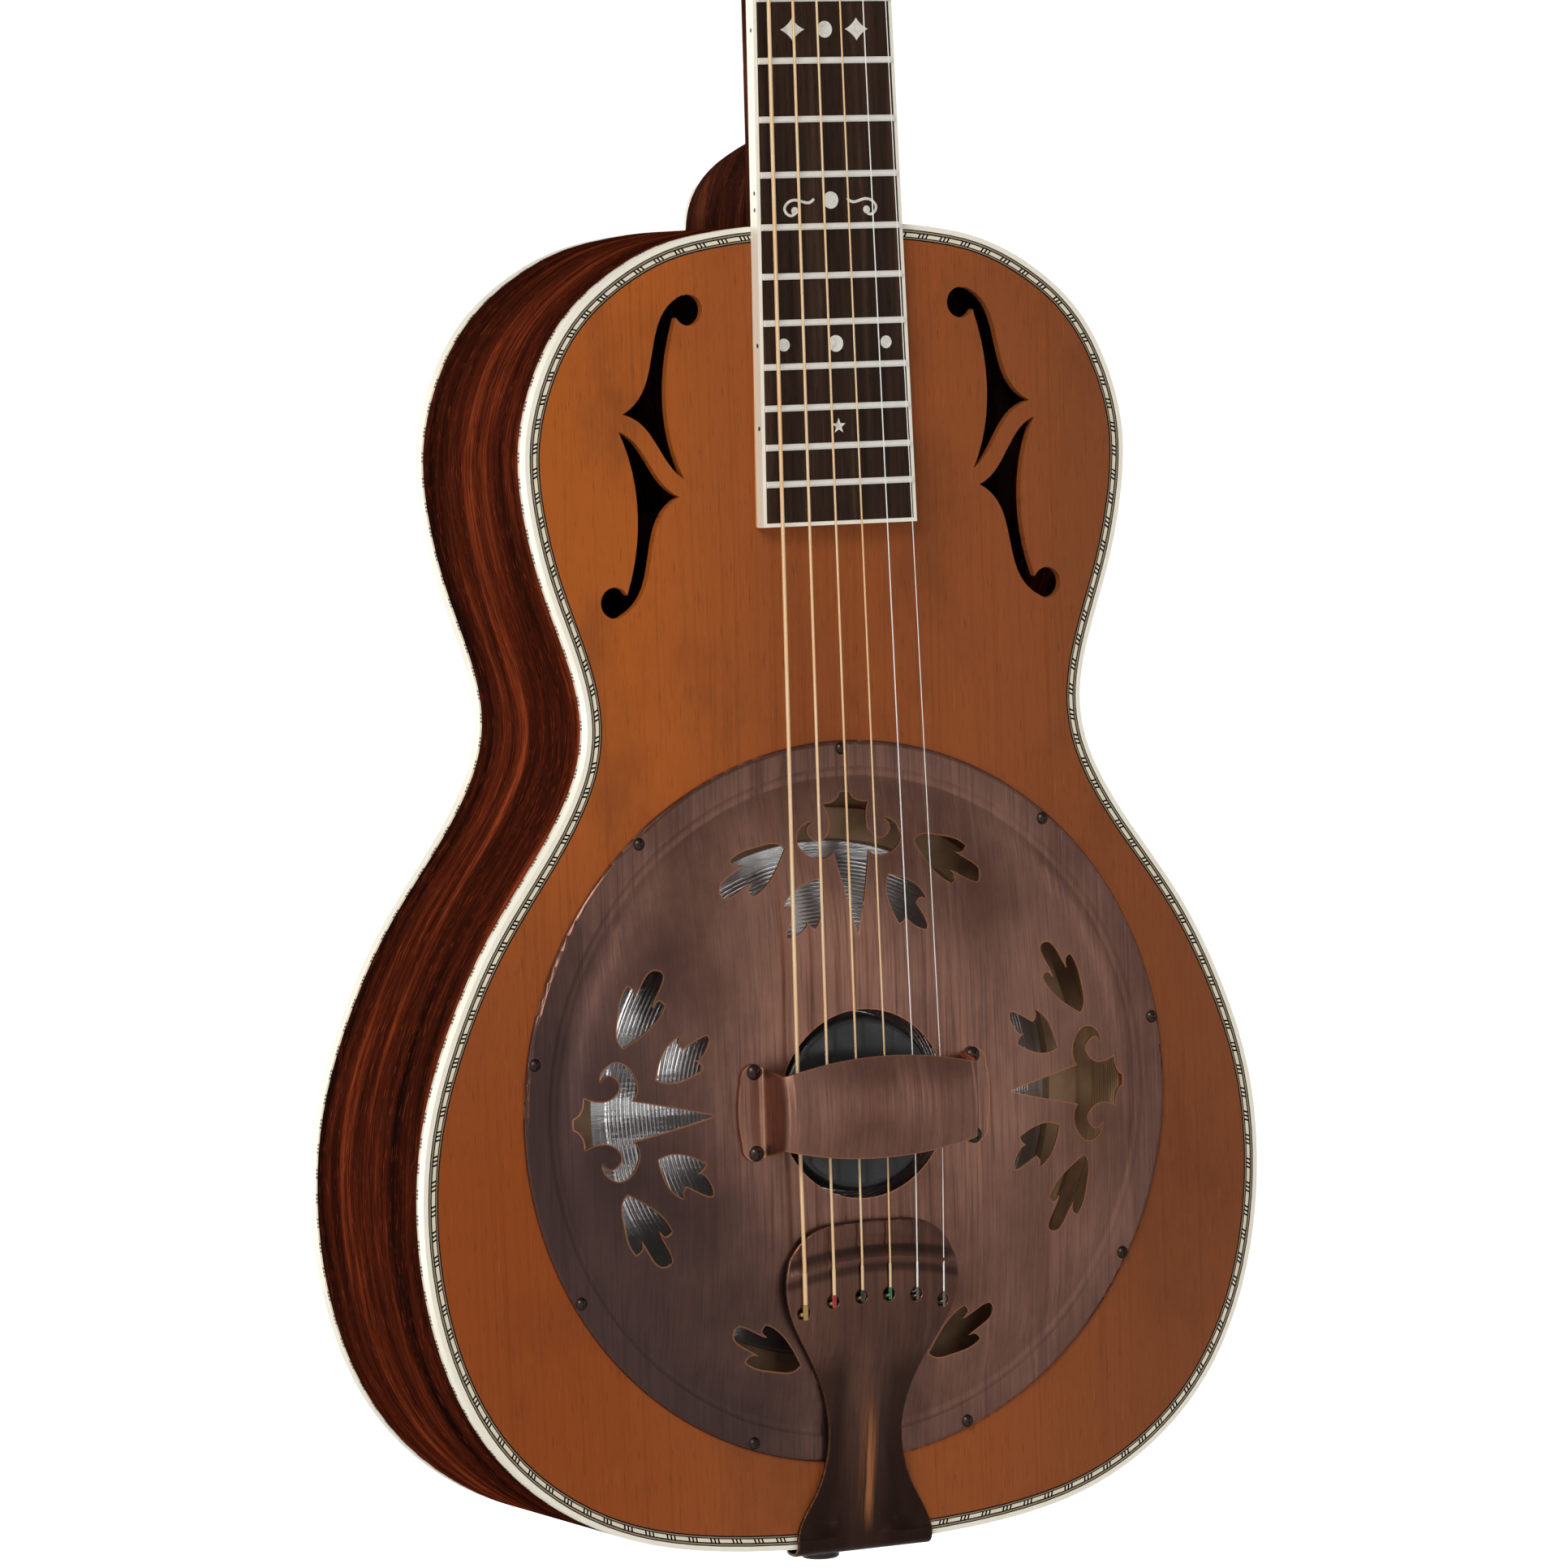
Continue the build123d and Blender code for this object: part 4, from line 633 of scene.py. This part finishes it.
def block_tiles(strip, tiles, low, high):
    """The row of slanted blocks along the band. Long blocks bend with it in several pieces."""
    lean = SLANT * (high - low) * BAND_WIDTH
    for k in range(round(strip.length / PERIOD)):
        for start, end, kind in BLOCKS:
            pieces = 4 if end - start > 0.3 else 1
            share = (end - start) / pieces
            for n in range(pieces):
                at = (k + start + share * n) * PERIOD
                tiles.add(strip.patch(at, at + share * PERIOD, low, high, lean), kind)


def marquetry(materials):
    """Lines and slanted blocks round the top, as one piece."""
    tiles = Tiles()
    for outer, inner in front_rails("top_purfling"):
        strip = Strip(outer, inner)
        for low, high, kind in BAND:
            if kind == "blocks":
                block_tiles(strip, tiles, low, high)
            else:
                line_tiles(strip, tiles, low, high, kind)
    order = [materials[kind] for kind in KINDS]
    piece = new_piece("marquetry", tiles.verts, tiles.faces, order, "root", tiles.kinds,
                      smooth=False)
    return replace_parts(piece, "top_purfling")


# ---------------------------------------------------------------- resonator
def cone_rings(material):
    """The spun cone with its concentric ridges."""
    pitch, height, skin = 1.35 * MM, 0.42 * MM, 0.55 * MM
    hole_r, top_r, body_r, rim_r = (r * MM for r in (1.7, 31.0, 88.0, 94.2))
    top_h, rim_h = -2.0 * MM, -23.4 * MM
    outside = [(hole_r, top_h), (top_r - 1.2 * MM, top_h)]
    count = int((body_r - top_r) / pitch)
    for k in range(count):
        for share, lift in ((0.0, 0.0), (0.42, 1.0), (0.58, 1.0)):
            r = top_r + (k + share) * pitch
            slope = (r - top_r) / (body_r - top_r)
            outside.append((r, top_h + (rim_h - top_h) * slope + lift * height - height))
    outside += [(body_r, rim_h), (rim_r - 0.8 * MM, rim_h), (rim_r, rim_h - 0.2 * MM)]
    inside = [(r, h - skin) for r, h in reversed(outside)]
    place = Matrix.Translation((0, 0, CENTRE_Z)) @ Matrix.Rotation(math.radians(90), 4, "X")
    verts, faces = lathe(outside + inside, place, turns=128)
    piece = new_piece("cone_spun", verts, faces, [material], "root")
    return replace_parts(piece, "cone")


# ---------------------------------------------------------------- tailpiece
def hump(value, middle, width):
    """A smooth hump of height 1 about middle."""
    return math.exp(-(((value - middle) / width) ** 2))


# The tailpiece's plan below the saddle line, in mm
STEM_START, FOOT_START, FOOT_FOLD = 90.0, 128.0, 161.0
STEM_HALF_W = 15.0
FOOT_FLARE = 0.375                # how fast the stem widens below FOOT_START
FOOT_FADE = 6.0                   # length over which the relief dies out above the fold


def tail_lift(x, y):
    """How far the tailpiece's stamped relief stands out at x, y of the plan, all in mm."""
    half_stem = STEM_HALF_W + FOOT_FLARE * max(0.0, -y - FOOT_START)
    arch = BEAD_ARCH * (x / BEAD_HALF) ** 2
    end = 1.0 if abs(x) < BEAD_HALF else hump(abs(x), BEAD_HALF, 2.5)
    bead = end * hump(y + arch, -58.0, 1.9)
    fold = -0.7 * hump(y + arch, -52.8, 2.4)
    stem = 1.0 / (1.0 + math.exp((y + STEM_START) / 3.5))
    ridge = 2.2 * stem * hump(x, 0.0, 5.2)
    dish = -1.3 * stem * hump(abs(x), half_stem * 0.62, 4.0)
    return bead + fold + ridge + dish


def sculpted_tailpiece(material):
    """The tailpiece with its stamped bead, ridge and hollows."""
    shell = bpy.data.objects.new("tail_shell", NODES["tailpiece"].data.copy())
    bpy.context.scene.collection.objects.link(shell)
    remesh = shell.modifiers.new("even", "REMESH")
    remesh.mode = "VOXEL"
    remesh.voxel_size = 0.45 * MM
    bpy.context.view_layer.update()
    evaluated = shell.evaluated_get(bpy.context.evaluated_depsgraph_get())
    mesh = bpy.data.meshes.new_from_object(evaluated)
    bpy.data.objects.remove(shell)
    for vertex in mesh.vertices:
        x, y = vertex.co.x / MM, (vertex.co.z - SADDLE_Z) / MM
        if y > -FOOT_FOLD:
            fade = min(1.0, (y + FOOT_FOLD) / FOOT_FADE)
            vertex.co.y -= tail_lift(x, y) * fade * MM
    mesh.polygons.foreach_set("use_smooth", [True] * len(mesh.polygons))
    mesh.materials.clear()
    mesh.materials.append(material)
    piece = bpy.data.objects.new("tailpiece_stamped", mesh)
    bpy.context.scene.collection.objects.link(piece)
    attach(piece, "root")
    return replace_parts(piece, "tailpiece")


# ---------------------------------------------------------------- side lines
DASH_PERIOD = 9.0 * MM
DASH_MIDDLES = (0.22, 0.37, 0.52)  # of the three dashes, as shares of the period
DASH_HALF = 0.045


def dashed_material(pale, dark):
    """Groups of three dark dashes in a pale line, by the length stored on each vertex."""
    g = Graph("side_dashes")
    arc = g.add("ShaderNodeAttribute", {"attribute_name": "arc"}).outputs["Fac"]
    share = g.math("FRACT", g.math("DIVIDE", arc, DASH_PERIOD))
    dashes = [g.math("COMPARE", share, middle) for middle in DASH_MIDDLES]
    for dash in dashes:
        dash.node.inputs[2].default_value = DASH_HALF
    dashed = g.math("MAXIMUM", dashes[0], g.math("MAXIMUM", dashes[1], dashes[2]))
    cloud = g.noise(g.scaled(300, 300, 300), detail=3)
    tone = g.mix(g.level(cloud, 0.4, 0.7, 0.0, 0.4), pale, tuple(c * 0.7 for c in pale))
    tone = g.mix(g.product(dashed, 0.85), tone, dark)
    return g.finish(tone, 0.42, normal=g.bump(cloud, 0.00002, 0.3), specular=0.2)


def dashed_side_lines(material):
    """The lines in the sides, with the length along the outline stored on their vertices."""
    mesh = NODES["side_purfling"].data.copy()
    rails = {}
    for side, (outer, _) in zip((-1, 1), front_rails("top_purfling")):
        rails[side], step = resample(outer, 3.0 * MM)
    arc = mesh.attributes.new("arc", "FLOAT", "POINT")
    for vertex in mesh.vertices:
        chain = rails[1 if vertex.co.x > 0 else -1]
        flat = Vector((vertex.co.x, chain[0].y, vertex.co.z))
        index = min(range(len(chain) - 1), key=lambda i: (chain[i] - flat).length_squared)
        spot, at = nearest_on(chain, flat, index)
        arc.data[vertex.index].value = at * step + (spot - chain[at]).length
    mesh.materials.clear()
    mesh.materials.append(material)
    piece = bpy.data.objects.new("side_dashed_lines", mesh)
    bpy.context.scene.collection.objects.link(piece)
    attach(piece, "root")
    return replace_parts(piece, "side_purfling")


# ---------------------------------------------------------------- string ends
# Radii and the places on the tailpiece, in mm, heights counted from the saddle line
STRING_RADII = (0.71, 0.53, 0.41, 0.33, 0.22, 0.17)
HOLE_HEIGHTS = (-76.0, -72.8, -71.7, -71.7, -72.8, -76.0)
HOLE_PITCH = 11.4
BEAD_Z = -57.5
BEAD_SPREAD = 0.072               # how far each lane has moved outwards at the bead
TAIL_TOP, TAIL_DROP, TAIL_HALF_W = 15.4, 2.1, 34.0
SILK_THICK = 0.24 * MM
LOCK_THICK = 0.18 * MM
SILK_SHARE = 0.18                 # of the way from the hole to the tailpiece's bead
LOCK_SHARE = 0.80                 # where the twisted end of the string stops
LOCK_STEPS = 28                   # twice the twists in it
SILKS = {
    "low_e": (0.62, 0.36, 0.06), "a": (0.55, 0.015, 0.015), "d": (0.015, 0.013, 0.013),
    "g": (0.01, 0.26, 0.09), "b": (0.16, 0.15, 0.15), "high_e": (0.22, 0.21, 0.20),
}


def string_rise(i):
    """Where a string leaves its hole in the tailpiece, and where it passes the bead."""
    lane, radius = i - 2.5, STRING_RADII[i]
    hole_x = lane * HOLE_PITCH
    top = TAIL_TOP - TAIL_DROP * (hole_x / TAIL_HALF_W) ** 2
    first = Vector((hole_x, -(top + 0.6 + radius), HOLE_HEIGHTS[i] - 0.1))
    second = Vector((hole_x + lane * BEAD_SPREAD, -(top + 1.1 + radius), BEAD_Z))
    base = Vector((0, 0, SADDLE_Z))
    return base + first * MM, base + second * MM


def string_end(i, thread_material, metal):
    """Silk at the hole, then the string's own twisted end."""
    first, second = string_rise(i)
    core = STRING_RADII[i] * MM

    def run(name, shares, radii, material):
        points = [first.lerp(second, share) for share in shares]
        verts, faces = tube(points, radii, sides=14)
        new_piece(f"{STRINGS[i]}_{name}", verts, faces, [material], "root")

    wide = core + SILK_THICK
    run("silk", (-0.12, 0.0, SILK_SHARE - 0.02, SILK_SHARE), [wide, wide, wide, core], thread_material)
    pitch = (LOCK_SHARE - SILK_SHARE) / LOCK_STEPS
    steps = [SILK_SHARE + pitch * k for k in range(LOCK_STEPS + 1)]
    twist = [core + LOCK_THICK * (0.55 + 0.45 * (k % 2)) for k in range(LOCK_STEPS)] + [core]
    run("lock", steps, twist, metal)


# ---------------------------------------------------------------- tuners
# The head's face: how far it leans back, and where its own measures start
HEAD_LEAN = math.radians(14.6875)
HEAD_ORIGIN = Vector((0, 3.6314 * MM, 4.9772 * MM))
# Places along the head, distances from its middle and radii, in mm
TUNER_ALONG = (46.0, 82.0, 118.0)
POST_X, POST_R = 22.0, 3.1
SHAFT_END = 15.0
WORM_SPAN = (16.4, 27.6)
WORM_R, WORM_RIDGE = 2.7, 0.22
WORM_TURNS, WORM_STEPS = 6, 18
BUTTON_FROM = 42.4
# The turns of a string round its post, the steps in each, and the height of the first in mm
WRAPS, TURN_STEPS, WRAP_TOP = 3.5, 20, 5.5


def head_place(x, along, out):
    """A point of the head, from mm across, along the head and out of its face."""
    up = Vector((0, math.sin(HEAD_LEAN), math.cos(HEAD_LEAN)))
    face = Vector((0, -math.cos(HEAD_LEAN), math.sin(HEAD_LEAN)))
    return HEAD_ORIGIN + Vector((x, 0, 0)) * MM + up * along * MM + face * out * MM


def tuner_side(i):
    """The side of a string's tuner, and its place in the row counted from the nut."""
    return (-1, i) if i < 3 else (1, 5 - i)


def wraps(i, material):
    """The turns of a string round its post."""
    side, place = tuner_side(i)
    radius = STRING_RADII[i]
    coil = POST_R + radius + 0.06
    height = WRAP_TOP + 0.5 * place
    start = math.pi if side > 0 else 0.0
    points = []
    for k in range(int(WRAPS * TURN_STEPS) + 1):
        turn = k / TURN_STEPS
        angle = start - side * 2 * math.pi * turn
        out = height - (turn + 0.55) * 2.15 * radius
        x, along = side * POST_X + coil * math.cos(angle), TUNER_ALONG[place] + coil * math.sin(angle)
        points.append(head_place(x, along, out))
    verts, faces = tube(points, radius * MM, sides=8)
    name = STRINGS[i]
    return new_piece(f"{name}_wraps", verts, faces, [material], f"{name}_post")


def key_axis(name):
    """Where a worm's axis runs, in y and z, from the inner end of its shaft."""
    shaft = [v.co for v in NODES[f"{name}_key"].data.vertices if abs(v.co.x) < SHAFT_END * MM]
    low = Vector(map(min, *shaft))
    high = Vector(map(max, *shaft))
    return (low.y + high.y) / 2, (low.z + high.z) / 2


def dressed_key(i, metal, plastic):
    """A key with a metal shaft, an ivory coloured button and a thread on its worm."""
    name = STRINGS[i]
    mesh = NODES[f"{name}_key"].data.copy()
    mesh.materials.clear()
    mesh.materials.append(metal)
    mesh.materials.append(plastic)
    for face in mesh.polygons:
        face.material_index = 1 if abs(face.center.x) > BUTTON_FROM * MM else 0
    key = bpy.data.objects.new(f"{name}_key_dressed", mesh)
    bpy.context.scene.collection.objects.link(key)
    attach(key, f"{name}_key")
    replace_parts(key, f"{name}_key")
    y, z = key_axis(name)
    side = tuner_side(i)[0]
    axis = Vector((0, y, z))
    count = WORM_TURNS * WORM_STEPS
    points = []
    for k in range(count + 1):
        along = WORM_SPAN[0] + (WORM_SPAN[1] - WORM_SPAN[0]) * k / count
        angle = 2 * math.pi * k / WORM_STEPS
        spoke = Vector((side * along, WORM_R * math.cos(angle), WORM_R * math.sin(angle)))
        points.append(axis + spoke * MM)
    verts, faces = tube(points, WORM_RIDGE * MM, sides=6)
    new_piece(f"{name}_worm_thread", verts, faces, [metal], f"{name}_key")


# ---------------------------------------------------------------- camera, light, floor
WALL_DIRECTION = (0.459, 0.887, -0.06)
WALL_EDGE = (0.86, 0.965)         # where the wall starts and is full, as cosines from its direction
WALL_LIGHT = 1.05
ROOM_LIGHT = 0.27                 # brightness of the room on the guitar's own side
GLOW_EDGE = (0.9, 2.1)            # where the floor starts to glow and glows in full, metres away


def camera():
    """The photograph's viewpoint: from the bass side, a little above the body's middle."""
    data = bpy.data.cameras.new("camera")
    data.lens = 173.97
    data.sensor_width = 36.0
    data.clip_end = 50.0
    shot = bpy.data.objects.new("camera", data)
    bpy.context.scene.collection.objects.link(shot)
    right = Vector((0.88705, -0.46065, -0.03078))
    up = Vector((0.05496, 0.03917, 0.99772))
    back = -Vector((0.45839, 0.88672, -0.06006))
    turn = Matrix((right, up, back)).transposed().to_4x4()
    shot.matrix_world = Matrix.Translation((-1.27552, -2.42322, -0.35024)) @ turn
    bpy.context.scene.camera = shot


def area_light(name, place, aim, size, power, colour):
    """A rectangular soft light at place, facing aim."""
    data = bpy.data.lights.new(name, "AREA")
    data.shape = "RECTANGLE"
    data.size, data.size_y = size
    data.energy = power
    data.color = colour
    lamp = bpy.data.objects.new(name, data)
    lamp.location = place
    lamp.rotation_mode = "QUATERNION"
    lamp.rotation_quaternion = (Vector(aim) - Vector(place)).to_track_quat("-Z", "Y")
    bpy.context.scene.collection.objects.link(lamp)


def surroundings():
    """A dim room with a bright wall beyond the guitar, as a world shader."""
    world = bpy.data.worlds.new("studio")
    world.use_nodes = True
    tree = world.node_tree
    look = tree.nodes.new("ShaderNodeTexCoord").outputs["Generated"]
    towards = tree.nodes.new("ShaderNodeVectorMath")
    towards.operation = "DOT_PRODUCT"
    towards.inputs[1].default_value = WALL_DIRECTION
    tree.links.new(look, towards.inputs[0])
    wall = tree.nodes.new("ShaderNodeMapRange")
    wall.interpolation_type = "SMOOTHSTEP"
    for index, value in enumerate((*WALL_EDGE, ROOM_LIGHT, WALL_LIGHT), start=1):
        wall.inputs[index].default_value = value
    tree.links.new(towards.outputs["Value"], wall.inputs[0])
    tree.links.new(wall.outputs[0], tree.nodes["Background"].inputs[1])
    tree.nodes["Background"].inputs[0].default_value = (1.0, 1.0, 1.0, 1.0)
    return world


def floor_material():
    """A pale floor that brightens into the wall beyond the guitar."""
    g = Graph("floor_pale")
    x, y, _ = g.axes()
    away = g.math("ADD", g.product(x, WALL_DIRECTION[0]), g.product(y, WALL_DIRECTION[1]))
    grain = g.noise(g.scaled(3, 3, 3), detail=2)
    tone = g.mix(grain, (0.80, 0.80, 0.80), (0.83, 0.83, 0.83))
    glow = g.level(away, *GLOW_EDGE)
    return g.finish(tone, 0.8, glow=glow)


UPPER_BODY, MID_BODY = (0, 0, -0.5), (0, 0, -0.6)
WHITE, WARM = (1, 1, 1), (1.0, 0.97, 0.93)
# Name, place, aim, size, power and colour
LIGHTS = [
    ("key", (-1.7, -1.7, 1.1), UPPER_BODY, (1.1, 1.1), 40.0, (1.0, 0.96, 0.90)),
    ("fill", (2.4, -1.2, -0.2), MID_BODY, (0.5, 1.2), 2.4, WHITE),
    ("sheen", (1.30, -2.48, -0.75), MID_BODY, (0.45, 1.0), 1.7, WHITE),
    ("glint", (-0.5, -2.7, -0.3), MID_BODY, (0.22, 1.2), 4.6, WHITE),
    ("edge", (-2.2, -1.1, -0.6), MID_BODY, (0.3, 1.2), 4.0, WARM),
    ("strip", (-1.4, 1.75, -0.4), MID_BODY, (0.4, 2.0), 26.0, WARM),
]
FLOOR_DROP, FLOOR_HALF = 0.35, 14.0


def studio():
    """A pale floor, soft lights and surroundings."""
    scene = bpy.context.scene
    scene.view_settings.view_transform = "Standard"
    scene.world = surroundings()
    for light in LIGHTS:
        area_light(*light)
    z, half = CAD_BOX[0].z - FLOOR_DROP, FLOOR_HALF
    mesh = bpy.data.meshes.new("floor")
    corners = [(-half, -half, z), (half, -half, z), (half, half, z), (-half, half, z)]
    mesh.from_pydata(corners, [], [(0, 1, 2, 3)])
    mesh.materials.append(floor_material())
    floor = bpy.data.objects.new("floor", mesh)
    scene.collection.objects.link(floor)


# ---------------------------------------------------------------- assembly
def dress_body():
    top = spruce_top()
    dark, mid, light = (0.010, 0.003, 0.002), (0.090, 0.015, 0.006), (0.270, 0.048, 0.014)
    sides = mahogany("mahogany_sides", (0.05, 1.0, 0.05), dark, mid, light, gloss=0.45, shine=0.0)
    back = mahogany("mahogany_back", (1.0, 0.06, 0.045), dark, mid, light, ribbon=42.0)
    cream = celluloid("cream_binding", (0.97, 0.93, 0.81), (0.91, 0.84, 0.68))
    paint(top, "soundboard")
    paint(sides, "bass_side", "treble_side")
    paint(back, "back_plate")
    paint(cream, "top_binding", "back_binding", "heel_cap", "fingerboard_binding")
    tiles = {
        "dark": black_gloss("inlay_black", (0.004, 0.003, 0.003), 0.5, shine=0.1),
        "light": celluloid("inlay_line", (0.32, 0.24, 0.16), (0.22, 0.16, 0.10), 0.4),
        "pale": celluloid("inlay_pale", (0.84, 0.77, 0.60), (0.66, 0.57, 0.40), 0.4),
    }
    marquetry(tiles)
    dashed_side_lines(dashed_material((0.66, 0.60, 0.48), (0.012, 0.009, 0.008)))
    raw = plain_wood("mahogany_raw", (0.12, 0.062, 0.035), (0.06, 0.030, 0.017))
    paint(raw, "top_lining", "back_lining", "neck_block", "tail_block")
    spruce = plain_wood("spruce_raw", (0.16, 0.11, 0.065), (0.09, 0.055, 0.030))
    maple = plain_wood("maple_raw", (0.66, 0.50, 0.32), (0.46, 0.31, 0.17))
    paint(spruce, "top_braces", "back_braces")
    paint(maple, "soundwell_posts", "saddle")
    paint(black_gloss("pin_black"), "end_pin")


def dress_resonator():
    dark_steel = bright_metal("dark_screws", (0.060, 0.042, 0.036), 0.26, (0.025, 0.018, 0.016))
    paint(plywood(), "soundwell")
    paint(black_gloss("biscuit_lacquer", (0.02, 0.02, 0.021), 0.2), "biscuit")
    paint(aged_copper("cover_copper"), "coverplate")
    paint(aged_copper("rest_copper", painted_shade=0.0), "palm_rest")
    sculpted_tailpiece(aged_copper("tail_copper", painted_shade=0.0, tail=True))
    paint(dark_steel, "coverplate_screws", "palm_rest_screws")
    cone_rings(spun_aluminium())


def dress_neck():
    wood = rosewood()
    dark, mid, light = (0.018, 0.006, 0.004), (0.060, 0.015, 0.008), (0.12, 0.033, 0.015)
    along = (1.0, 1.0, 0.03)
    neck = mahogany("mahogany_neck", along, dark, mid, light, ribbon=55.0, gloss=0.45, shine=0.0)
    nickel = bright_metal("nickel", (0.66, 0.64, 0.60), 0.22, (0.45, 0.41, 0.35))
    paint(neck, "neck")
    paint(wood, "fingerboard", "head_veneer")
    worn = (0.85, 0.82, 0.76)
    paint(bright_metal("nickel_frets", (0.97, 0.94, 0.88), 0.28, worn, metallic=0.3), "frets")
    paint(pearl(), "inlays")
    paint(black_gloss("black_plastic"), "side_dots", "truss_rod_cover")
    # the wedge under the fingerboard, in bright orange
    paint(plain_wood("stained_wedge", (0.80, 0.42, 0.09), (0.60, 0.27, 0.05)), "fingerboard_wedge")
    paint(celluloid("bone", (0.80, 0.75, 0.62), (0.70, 0.62, 0.46)), "nut")
    paint(nickel, "tuner_plates", *[f"{name}_post" for name in STRINGS])
    paint(bright_metal("steel_rod", (0.42, 0.42, 0.43), 0.4), "truss_rod")
    paint(bright_metal("small_screws", (0.60, 0.58, 0.54), 0.26), "tuner_screws", "truss_cover_screws",
          "biscuit_screw")
    button = celluloid("ivoroid", (0.80, 0.73, 0.56), (0.68, 0.57, 0.36), 0.22)
    for i in range(len(STRINGS)):
        dressed_key(i, nickel, button)


def dress_strings():
    bronze = wound_string()
    plain = bright_metal("plain_steel", (1.0, 0.99, 0.96), 0.34, (0.95, 0.93, 0.9), metallic=0.15)
    for i, name in enumerate(STRINGS):
        metal = bronze if name in WOUND else plain
        paint(metal, f"{name}_string")
        string_end(i, thread(f"silk_{name}", SILKS[name]), metal)
        wraps(i, metal)
    paint(bright_metal("ball_brass", (0.10, 0.07, 0.035), 0.4, (0.05, 0.035, 0.02)), "ball_ends")


camera()
studio()
dress_body()
dress_resonator()
dress_neck()
dress_strings()
